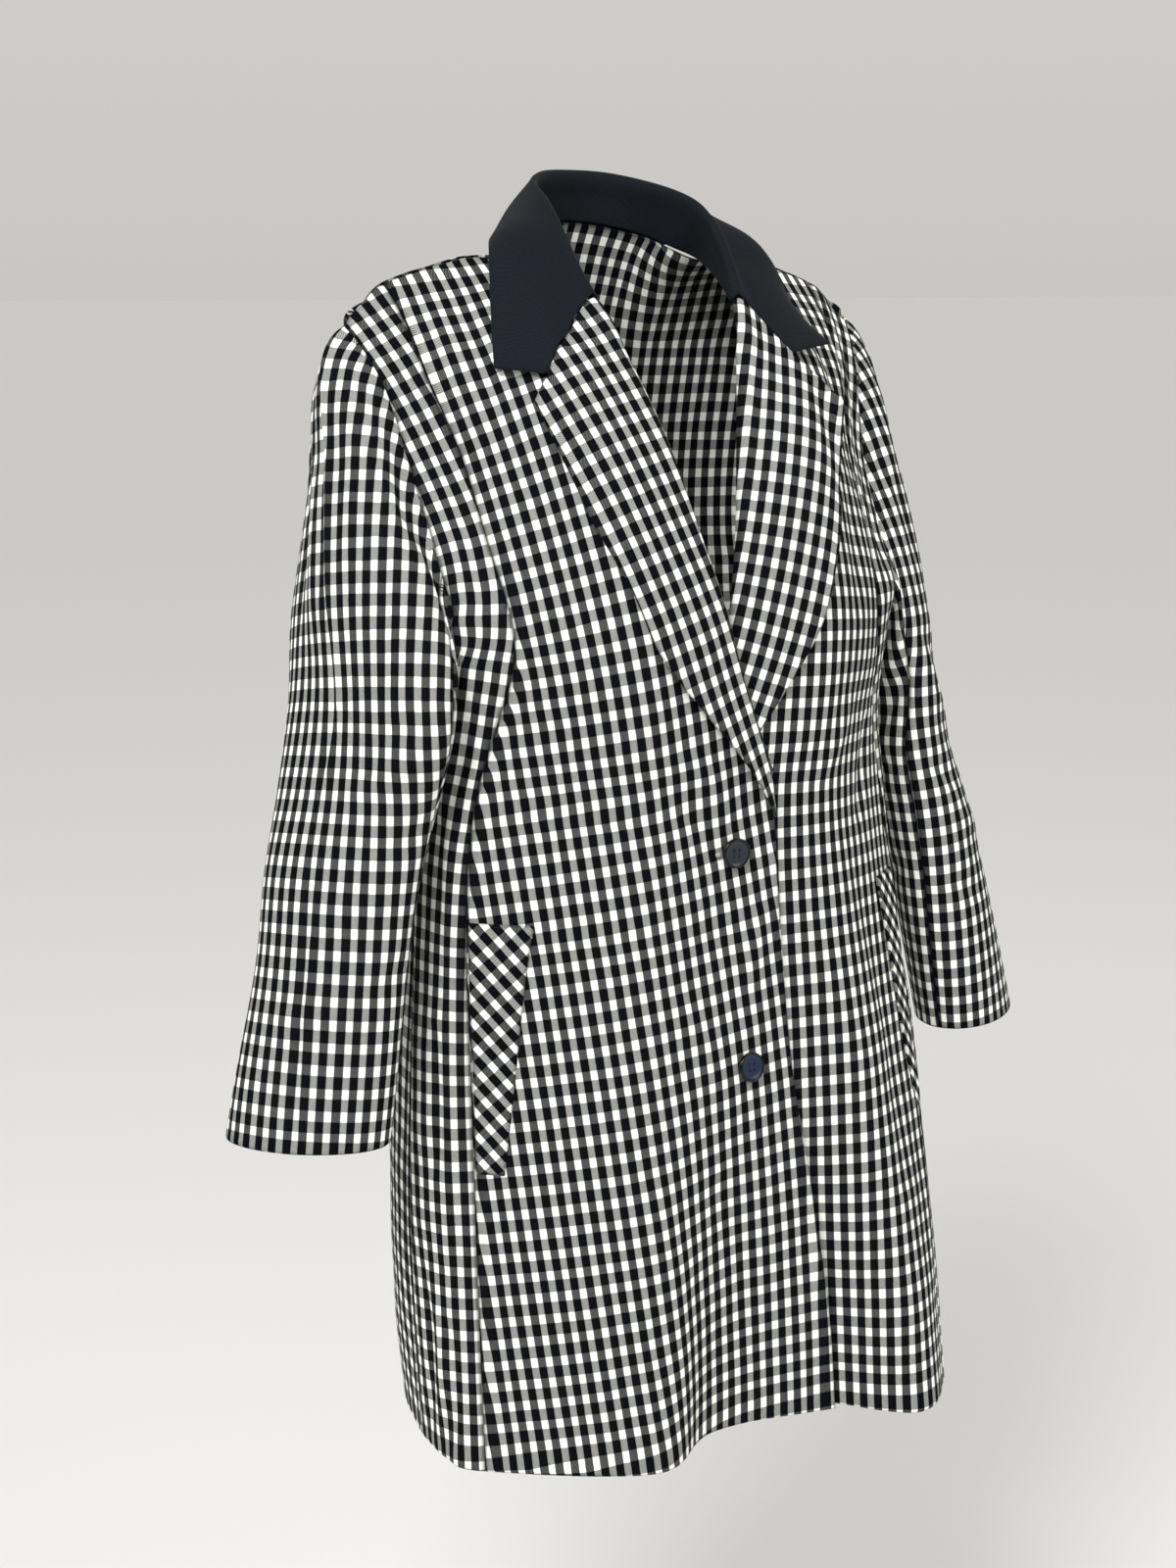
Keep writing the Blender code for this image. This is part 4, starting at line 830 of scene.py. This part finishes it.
# ---- collar and lapels
collarMake = {"wall": 2.4 * mm, "roll": 2.6 * mm, "gap": .6 * mm, "fallRows": 7,
              "stations": (0, 1, 2, 3, 4, 6), "bellyOut": 8 * mm, "bellyUp": 4 * mm,
              "fold": [(-67, -54, -7), (-68, -33, 19), (-65, -9, 38), (-49, 36, 53), (0, 63, 61)],
              "edge": [(-130, -45.5, -38), (-117, -20, 3), (-89, 28, 11), (-56, 70, 5), (0, 92, -1)],
              "corner": {"right": (-143, -73.5, -77.5), "left": (144, -74, -64)},
              "notch": {"right": (-112, -92.5, -80), "left": (98, -90, -69)}, "spacing": 2.6 * mm,
              "waves": (31, 60, .35)}          # seed, size and height in mm
lapelMake = {"roll": 4.5 * mm, "turn": 2.5 * mm, "over": 1 * mm, "lift": 5.5 * mm, "segments": 6,
             "spacing": 3.2 * mm, "waves": (41, 70, .3),
             "edge": {"right": [(-125.5, -98, -98), (-107, -139.5, -171), (-88, -165, -225),
                                (-68, -181, -276), (-4, -184, -350), (26, -179, -392)],
                      "left": [(131, -110, -104), (104, -140, -180), (85, -154, -225), (62, -165, -272),
                               (10, -166, -345), (-26, -164, -392)]}}
gorgeRow = 2 * gorgeLevel
overSamples = {}           # points of the upper fronts, which the lapels lie on
for side, table in (("right", rightFront), ("left", leftFront)):
    overSamples[side] = throughLines(frontLines(table)[:5], [False] * 5, np.linspace(4, 13, 91),
                                     np.linspace(0, 4, 49)).reshape(-1, 3)


def overPanel(side, x, z, lift):
    # the point straight out of a front at (x, z), lifted off its outer face
    points = overSamples[side]
    near = np.argsort((points[:, 0] - x)**2 + (points[:, 2] - z)**2)[:10]
    level = np.column_stack([np.ones(len(near)), points[near][:, 0] - x, points[near][:, 2] - z])
    depth, leanX, leanZ = np.linalg.lstsq(level, points[near][:, 1], rcond=None)[0]
    return np.array((x, depth, z)) + unit(np.array((leanX, -1.0, leanZ))) * lift


def cover(side, start, end, count):
    # points over a front from start to end, held off it and easing out to the end
    points = []
    for f in np.linspace(0, 1, count + 1)[1:]:
        straight = start + (end - start) * f
        clear = overPanel(side, straight[0], straight[2], lapelMake["lift"])
        keep = (1 - f) * min(1, 4 * f) if straight[1] < clear[1] else 1
        points.append(clear * keep + straight * (1 - keep))
    return points


def rollLine(side):
    # where a lapel turns back: points, the way out, and the way past the front's edge
    grid, normals = coarse[side]
    run = slice(2 * breakLevel + 1, gorgeRow + 1)
    return grid[run, 0], normals[run, 0], unit(grid[run, 0] - grid[run, 1])


def gorgeTop(side):
    # the fold's point at the top of the gorge seam
    roll, face, past = rollLine(side)
    return roll[-1] + past[-1] * lapelMake["over"] + face[-1] * (lapelMake["roll"] + lapelMake["over"])


def gorgeSeam(side, corner, count):
    # from the fold to the notch, and on to the corner
    notch = np.array(collarMake["notch"][side]) * mm
    first = count * 2 // 3
    along = cover(side, gorgeTop(side), notch, first)
    rest = count - first
    return along + [notch + (np.asarray(corner) - notch) * i / rest for i in range(1, rest + 1)]


def collarSections():
    # foot, stand, fold and fall at each place round the neck, from the right gorge to the left
    feet = []
    inside = clothMake["wall"] / 2
    reach = collarMake["wall"] / 2 + clothMake["seamGap"]
    for side in ("right", "left"):
        grid, normals = coarse[side]
        past = unit(grid[gorgeRow:, 0] - grid[gorgeRow:, 1])
        feet.append(grid[gorgeRow:, 0] - normals[gorgeRow:, 0] * inside + past * reach)
    grid, normals = coarse["back"]
    nape = slice(neckColumn + 1, -neckColumn - 1)
    past = unit(grid[-1, nape] - grid[-2, nape])
    feet = np.vstack([feet[0], grid[-1, nape] - normals[-1, nape] * inside + past * reach, feet[1][::-1]])
    stations = np.arange(len(feet))
    half = collarMake["stations"]
    knots = np.concatenate([half, stations[-1] - np.array(half[-2::-1])])
    fold, edge = np.array(collarMake["fold"]) * mm, np.array(collarMake["edge"]) * mm
    corner = {side: np.array(place) * mm for side, place in collarMake["corner"].items()}
    fold = curveThrough([gorgeTop("right"), *fold, *mirrored(fold)[-2::-1], gorgeTop("left")],
                        stations, knots)
    edge = curveThrough([corner["right"], *edge, *mirrored(edge)[-2::-1], corner["left"]], stations, knots)
    roll = collarMake["roll"]
    sections = []
    for i, (foot, top, hem) in enumerate(zip(feet, fold, edge)):
        outward = unit((hem - top) * (1, 1, 0))
        turn = [top - outward * roll, top + (0, 0, roll * .8)]
        if i in (0, len(feet) - 1):
            fall = gorgeSeam("left" if i else "right", hem, collarMake["fallRows"])
        else:
            middle = (top + hem) / 2 + outward * collarMake["bellyOut"] + (0, 0, collarMake["bellyUp"])
            fall = list(curveThrough([top + outward * roll, middle, hem],
                                     np.linspace(0, 2, collarMake["fallRows"])))
        sections.append([foot, (foot + turn[0]) / 2, *turn, *fall])
    return np.array(sections)


def refined(grid, spacing):
    # a smooth grid through a coarse one, its places spaced by length
    rowRun, columnRun = runLength(grid, 0).mean(1), runLength(grid, 1).mean(0)
    made = grid
    for lengths in (columnRun, rowRun):
        at = np.interp(spread(np.diff(lengths), spacing), np.arange(len(lengths)), lengths)
        made = curveThrough(made.transpose(1, 0, 2), at, lengths)
    return made


def buildCollar():
    sections = collarSections()
    for end, beside in ((0, 1), (-1, -2)):
        sections[end] += unit(sections[beside] - sections[end]) * collarMake["gap"]
    grid = refined(sections.transpose(1, 0, 2), collarMake["spacing"])
    normals = gridNormals(grid)
    if normals[-1, grid.shape[1] // 2, 1] < 0:
        normals *= -1
    normals = softened(normals, 2)
    middle = grid.shape[1] // 2
    flat = onGrain(flatCut(grid), (0, middle), (grid.shape[0] - 1, middle), facesOut(grid, normals), 45)
    half = collarMake["wall"] / 2
    height, lift, dark = edgeWorked(grid, waviness(flat, *collarMake["waves"]), allEdges, 3)
    piece = clothPiece("collar_cloth", grid + normals * (half + height)[..., None],
                       grid + normals * (lift - half)[..., None], flat, dark, plain)
    sewnIn(piece, "collar")


def lapelGrid(side):
    # one line a level from the roll out to the lapel's edge, from the break up to the gorge
    roll, face, past = rollLine(side)
    count = len(roll)
    edge = curveThrough(np.array(lapelMake["edge"][side][::-1]) * mm, np.linspace(0, 5, count))
    lines = []
    for i in range(count):
        start = roll[i] + past[i] * clothMake["seamGap"] - face[i] * clothMake["wall"] / 2
        turn = roll[i] + past[i] * lapelMake["roll"] + face[i] * lapelMake["turn"]
        over = roll[i] + past[i] * lapelMake["over"] + face[i] * (lapelMake["roll"] + lapelMake["over"])
        if i == count - 1:
            rest = gorgeSeam(side, edge[i], lapelMake["segments"])
        else:
            rest = cover(side, over, edge[i], lapelMake["segments"])
        lines.append([start, turn, over] + list(rest))
    grid = np.array(lines)
    grid[-1] += unit(grid[-2] - grid[-1]) * collarMake["gap"]
    return grid


def buildLapel(side):
    grid = refined(lapelGrid(side), lapelMake["spacing"])
    normals = gridNormals(grid)
    if normals[grid.shape[0] // 2, -2, 1] > 0:
        normals *= -1
    normals = softened(normals, 2)
    flat = onGrain(flatCut(grid), (grid.shape[0] // 2, -1), (grid.shape[0] - 2, -1),
                   facesOut(grid, normals))
    half = clothMake["wall"] / 2
    height, lift, dark = edgeWorked(grid, waviness(flat, *lapelMake["waves"]),
                                    {"last": "edge", "top": "edge"}, 4)
    piece = clothPiece("lapel_" + side + "_cloth", grid + normals * (half + height)[..., None],
                       grid + normals * (lift - half)[..., None], flat, dark, checked)
    sewnIn(piece, "lapel_" + side)


buildCollar()
buildLapel("right")
buildLapel("left")
print("collar and lapels made")

# ---- pocket welts, cut on the bias and laid on the fronts
weltMake = {"top": 4.10, "bottom": 2.38, "frontTop": 2.51, "frontBottom": 2.75, "side": 2.965,
            "lift": .4 * mm, "thick": 2.2 * mm, "rows": 70, "columns": 20,
            "waves": (51, 40, .25)}            # seed, size and height in mm


def weltPlaces(side):
    # points of the front that a welt covers
    lines = frontLines(rightFront if side == "right" else leftFront)
    grid = []
    for d in np.linspace(1, 0, weltMake["rows"]):      # from the bottom up
        level = weltMake["top"] + (weltMake["bottom"] - weltMake["top"]) * d
        first = weltMake["frontTop"] + (weltMake["frontBottom"] - weltMake["frontTop"]) * d
        across = np.linspace(first, weltMake["side"], weltMake["columns"])
        grid.append(throughLines(lines, [False] * 6, np.array([level]), across)[0])
    return np.array(grid)


def buildWelt(side):
    # a bias strip: its checks lie at 45 degrees
    grid = weltPlaces(side)
    normals = gridNormals(grid)
    if normals[10, 5, 1] > 0:
        normals *= -1
    normals = softened(normals, 2)
    middle = weltMake["columns"] // 2
    flat = onGrain(flatCut(grid), (0, middle), (weltMake["rows"] - 1, middle), facesOut(grid, normals),
                   45 if side == "right" else -45)
    height, lift, dark = edgeWorked(grid, waviness(flat, *weltMake["waves"]), allEdges, 6)
    away = weltMake["lift"] + weltMake["thick"]
    piece = clothPiece("pocket_welt_" + side + "_cloth", grid + normals * (away + height)[..., None],
                       grid + normals * (weltMake["lift"] + lift * .2)[..., None], flat, dark, checked)
    sewnIn(piece, "pocket_welt_" + side)


buildWelt("right")
buildWelt("left")
print("pocket welts made")


# ---- buttons
buttonMake = {
    "across": 22 * mm, "thick": 4.2 * mm, "rim": 2.6 * mm, "dish": .9 * mm, "steps": 64,
    "hole": 2.2 * mm, "spread": 2.1 * mm, "lift": 1.2 * mm,
    "places": {"button_upper": (.80, 4.62), "button_lower": (.77, 3.05)},     # line and level of a front
    "tilt": {"button_upper": (2, -3), "button_lower": (-9, 5)},               # degrees, up and across
}
# one resin for both buttons; the two copies are coloured apart as painted light, the lower one painted bluer
resin = {"button_upper": ("polished navy resin", "#22272e"),
         "button_lower": ("polished navy resin, lower copy painted bluer", "#19243a"),
         # painted shade: the rims get a darker copy of the same resin
         "rim": ("polished resin, rims painted darker as shade", "#020305"),
         "marks": 900.0, "depth": .22 * mm, "relief": .06}       # turning marks, about 1.1 mm apart


def polishedResin(name, colour):
    # polyester button resin, turned and polished: glossy near-black navy with faint turning marks
    made, tree, shader = newMaterial(name, {"Roughness": .22, "Specular IOR Level": .3,
                                            "Base Color": linear(colour)})
    place = addNode(tree, "ShaderNodeTexCoord").outputs["Object"]
    marks = addNode(tree, "ShaderNodeTexNoise", {"Vector": place, "Scale": resin["marks"], "Detail": 2.0})
    bump = addNode(tree, "ShaderNodeBump", {"Height": marks, "Distance": resin["depth"],
                                            "Strength": resin["relief"]})
    tree.links.new(bump.outputs[0], shader.inputs["Normal"])
    return made


def frontPlace(line, level):
    # the point of the right front at a line and level, and the way out from it
    step = .02
    near = np.array((-step, 0, step))
    patch = throughLines(frontLines(rightFront), [False] * 5 + [True], level + near, line + near)
    normal = gridNormals(patch)[1, 1]
    return patch[1, 1], normal if normal[1] < 0 else -normal


def buttonSeat(name):
    # where a button lies, and how it is turned
    point, normal = frontPlace(*buttonMake["places"][name])
    up, across = (math.radians(a) for a in buttonMake["tilt"][name])
    turn = Vector(normal).to_track_quat("Z", "Y").to_matrix().to_4x4()
    turn = turn @ Matrix.Rotation(up, 4, "X") @ Matrix.Rotation(across, 4, "Y")
    return Vector(point), Vector(normal), turn


def buildButton(name):
    # a turned blank with a raised rim, drilled four times
    radius, rim, thick, dish = (buttonMake["across"] / 2, buttonMake["rim"], buttonMake["thick"],
                                buttonMake["dish"])
    lip = radius - rim
    profile = [(0, thick - dish), (lip * .7, thick - dish), (lip * .93, thick - dish * .85),
               (lip + rim * .12, thick - dish * .3), (lip + rim * .3, thick),
               (lip + rim * .55, thick * 1.02), (lip + rim * .8, thick * .95),
               (radius - rim * .05, thick * .8), (radius, thick * .6), (radius * .97, thick * .3),
               (radius * .85, thick * .08), (radius * .6, 0), (0, 0)]
    mesh = bpy.data.meshes.new(name + "_turned")
    mesh.from_pydata([(x, 0, z) for x, z in profile], [(i, i + 1) for i in range(len(profile) - 1)], [])
    blank = linked(name + "_turned", mesh)
    screw = blank.modifiers.new("turned", "SCREW")
    screw.steps = screw.render_steps = buttonMake["steps"]
    screw.use_merge_vertices = True
    screw.merge_threshold = .0001
    cutters = bpy.data.meshes.new(name + "_drill")
    build = bmesh.new()
    for x, y in ((1, 1), (-1, 1), (-1, -1), (1, -1)):
        place = Matrix.Translation((x * buttonMake["spread"], y * buttonMake["spread"], thick / 2))
        bmesh.ops.create_cone(build, cap_ends=True, segments=16, radius1=buttonMake["hole"] / 2,
                              radius2=buttonMake["hole"] / 2, depth=thick * 3, matrix=place)
    build.to_mesh(cutters)
    build.free()
    drill = linked(name + "_drill", cutters)
    cut = blank.modifiers.new("holes", "BOOLEAN")
    cut.operation = "DIFFERENCE"
    cut.object = drill
    made = evaluated(blank)
    bpy.data.objects.remove(drill)
    made.materials.clear()
    made.materials.append(polishedResin(*resin[name]))
    # the rims take the darker copy: painted shade
    made.materials.append(rimShadeResin)
    for face in made.polygons:
        face.material_index = int(math.hypot(face.center.x, face.center.y) > lip)
    point, normal, turn = buttonSeat(name)
    made.transform(Matrix.Translation(point + normal * buttonMake["lift"]) @ turn)
    made.shade_smooth()
    made.set_sharp_from_angle(angle=math.radians(35))
    button = linked(name + "_resin", made)
    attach(button, "root")
    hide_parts(name)


# a darker copy of the resin, painted on the button rims as shade
rimShadeResin = polishedResin(*resin["rim"])
for buttonName in buttonMake["places"]:
    buildButton(buttonName)
print("buttons made")

# ---- stitches: a run of them is a line of points, filled with short lengths of thread
stitchMake = {
    "across": .45 * mm, "sides": 6, "uneven": .12,               # thread, and how far each strays, radians
    "bars": {"pitch": .5 * mm, "length": 1.3 * mm, "sink": .3, "past": 1.15},      # through the buttons
    "holeEnd": {"pitch": .55 * mm, "length": 2.6 * mm, "reach": (12.4 * mm, 15.6 * mm), "lift": 1.0 * mm},
    "weltEnd": {"pitch": .8 * mm, "length": 1.36 * mm, "lift": .6 * mm,
                "rows": (("top", -2), ("bottom", 1))},
}


def threadCloth(name, values, colour):
    # twisted polyester: matt, its twist too fine to show
    return newMaterial(name, {**values, "Base Color": linear(colour)})[0]


darkThread = threadCloth("dark sewing thread", {"Roughness": .55, "Sheen Weight": .1}, "#10141c")
# pale stitches at each buttonhole's end, where a light mark shows beside the button
paleHoleEnd = threadCloth("pale stitches at the buttonhole end", {"Roughness": .6}, "#b9bab6")


def stitchRun(name, points, make, lean, thread, seed):
    # short threads set along a line, each turned by lean to it, a little uneven
    line = bpy.data.meshes.new(name)
    line.from_pydata([tuple(p) for p in points], [(i, i + 1) for i in range(len(points) - 1)], [])
    tree = bpy.data.node_groups.new(name, "GeometryNodeTree")
    for way in ("INPUT", "OUTPUT"):
        tree.interface.new_socket("Geometry", in_out=way, socket_type="NodeSocketGeometry")
    sockets = {}
    for label, value in (("Pitch", make["pitch"]), ("Length", make["length"])):
        socket = tree.interface.new_socket(label, in_out="INPUT", socket_type="NodeSocketFloat")
        sockets[socket.identifier] = value
    given = addNode(tree, "NodeGroupInput").outputs
    curve = addNode(tree, "GeometryNodeMeshToCurve", (given[0],))
    even = addNode(tree, "GeometryNodeResampleCurve", {"Curve": curve, "Length": given["Pitch"]},
                   mode="LENGTH")
    stitch = addNode(tree, "GeometryNodeMeshCylinder", {
        "Vertices": stitchMake["sides"], "Radius": stitchMake["across"] / 2, "Depth": given["Length"]})
    tangent = addNode(tree, "GeometryNodeInputTangent")
    facing = addNode(tree, "FunctionNodeAlignRotationToVector", {"Vector": tangent}, axis="X")
    stray = stitchMake["uneven"]
    uneven = addNode(tree, "FunctionNodeRandomValue", {0: (lean - stray, -stray, -stray),
                                                       1: (lean + stray, stray, stray), "Seed": seed},
                     data_type="FLOAT_VECTOR")
    turned = addNode(tree, "FunctionNodeRotateRotation", (facing, uneven), rotation_space="LOCAL")
    placed = addNode(tree, "GeometryNodeInstanceOnPoints", {"Points": even, "Instance": stitch,
                                                            "Rotation": turned})
    real = addNode(tree, "GeometryNodeRealizeInstances", (placed,))
    finish = addNode(tree, "GeometryNodeSetMaterial", {0: real, "Material": thread})
    addNode(tree, "NodeGroupOutput", (finish,))
    run = linked(name, line)
    modifier = run.modifiers.new("stitches", "NODES")
    modifier.node_group = tree
    for identifier, value in sockets.items():
        modifier[identifier] = value
    made = evaluated(run)
    made.shade_smooth()
    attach(linked(name, made), "root")


def sewButton(name, seed):
    # two bars of thread through the holes, and the end of the buttonhole beside the button
    point, normal, turn = buttonSeat(name)
    bars, hole = stitchMake["bars"], stitchMake["holeEnd"]
    top = buttonMake["thick"] - buttonMake["dish"] + stitchMake["across"] * bars["sink"]
    spread = buttonMake["spread"]
    for k, side in enumerate((-1, 1)):
        ends = [Vector((side * spread, y * spread * bars["past"], top)) for y in (-1, 1)]
        bar = [point + normal * buttonMake["lift"] + turn @ ends[0].lerp(ends[1], f) for f in (0, .5, 1)]
        stitchRun(name + "_thread_" + str(k + 1), bar, bars, math.pi / 2, darkThread, seed + k)
    away = Vector((-1, 0, 0)) - normal * normal.dot(Vector((-1, 0, 0)))
    away.normalize()
    ends = [point + away * reach + normal * hole["lift"] for reach in hole["reach"]]
    stitchRun(name + "_buttonhole_end", ends, hole, 0, paleHoleEnd, seed + 9)


def weltBars(side, seed):
    # the bar tacks that hold both short ends of a welt
    bar = stitchMake["weltEnd"]
    grid = weltPlaces(side)
    normals = gridNormals(grid)
    if normals[10, 5, 1] > 0:
        normals *= -1
    away = weltMake["lift"] + weltMake["thick"] - bar["lift"]
    for end, row in bar["rows"]:
        points = grid[row, 1:-1:3] + normals[row, 1:-1:3] * away
        stitchRun("pocket_welt_" + side + "_" + end + "_stitches", points, bar, 0, darkThread, seed)


sewButton("button_upper", 60)
sewButton("button_lower", 80)
weltBars("right", 101)
weltBars("left", 103)
print("stitches made")

# ---- floor, light and camera
studio = {"floor": "#e7e7e7", "floorLevel": -1.4, "floorSize": 400.0,
          "horizon": .58, "overhead": .74, "warmth": (1.0, .985, .95),   # meets the far floor unseen
          "lights": {"key": ((-2.3, -1.9, 2.1), 1.2, 132), "fill": ((1.6, -3.0, 1.0), 1.6, 26)},
          "aim": (0, 0, -.35), "overheadFrom": .5}             # rise at which the sky is all overhead


def paleFloor():
    # a painted floor, matt and neutral
    made = newMaterial("pale painted floor", {"Roughness": .9, "Base Color": linear(studio["floor"])})[0]
    mesh = bpy.data.meshes.new("floor")
    h, z = studio["floorSize"] / 2, studio["floorLevel"]
    mesh.from_pydata([(-h, -h, z), (h, -h, z), (h, h, z), (-h, h, z)], [], [(0, 1, 2, 3)])
    mesh.materials.append(made)
    linked("floor", mesh)


def softLight():
    # a pale room, brighter overhead, with a broad soft light high at the wearer's right
    world = bpy.data.worlds.new("pale studio")
    world.use_nodes = True
    tree = world.node_tree
    way = addNode(tree, "ShaderNodeTexCoord").outputs["Generated"]
    up = addNode(tree, "ShaderNodeSeparateXYZ", (way,)).outputs[2]
    rise = addNode(tree, "ShaderNodeMapRange", (up, 0.0, studio["overheadFrom"], 0.0, 1.0))
    low, high = ([studio[level] * w for w in studio["warmth"]] + [1.0] for level in ("horizon", "overhead"))
    shade = addNode(tree, "ShaderNodeMix", {0: rise, 6: low, 7: high}, data_type="RGBA")
    tree.links.new(shade.outputs[2], tree.nodes["Background"].inputs["Color"])
    bpy.context.scene.world = world
    for name, (place, size, power) in studio["lights"].items():
        data = bpy.data.lights.new(name, "AREA")
        data.size = size
        data.energy = power
        light = linked(name, data)
        light.location = place
        light.rotation_euler = (Vector(studio["aim"]) - Vector(place)).to_track_quat("-Z", "Y").to_euler()
    bpy.context.scene.view_settings.view_transform = "Standard"


# the photograph's viewpoint: turned to the wearer's right, a little above, looking down
viewpoint = {"lens": 54.0, "sensor": 36.0, "away": 1.78, "turn": -31.0, "down": 12.0, "aside": -.02,
             "height": -.02}


def setCamera():
    turn = math.radians(viewpoint["turn"])
    back = Vector((math.sin(turn), -math.cos(turn), 0))
    aside = Vector((math.cos(turn), math.sin(turn), 0))
    data = bpy.data.cameras.new("viewpoint")
    data.lens, data.sensor_width = viewpoint["lens"], viewpoint["sensor"]
    camera = linked("viewpoint", data)
    camera.location = back * viewpoint["away"] + aside * viewpoint["aside"]
    camera.location.z += viewpoint["height"]
    camera.rotation_euler = (math.radians(90 - viewpoint["down"]), 0, turn)
    bpy.context.scene.camera = camera


paleFloor()
softLight()
setCamera()
print("floor, light and camera set")
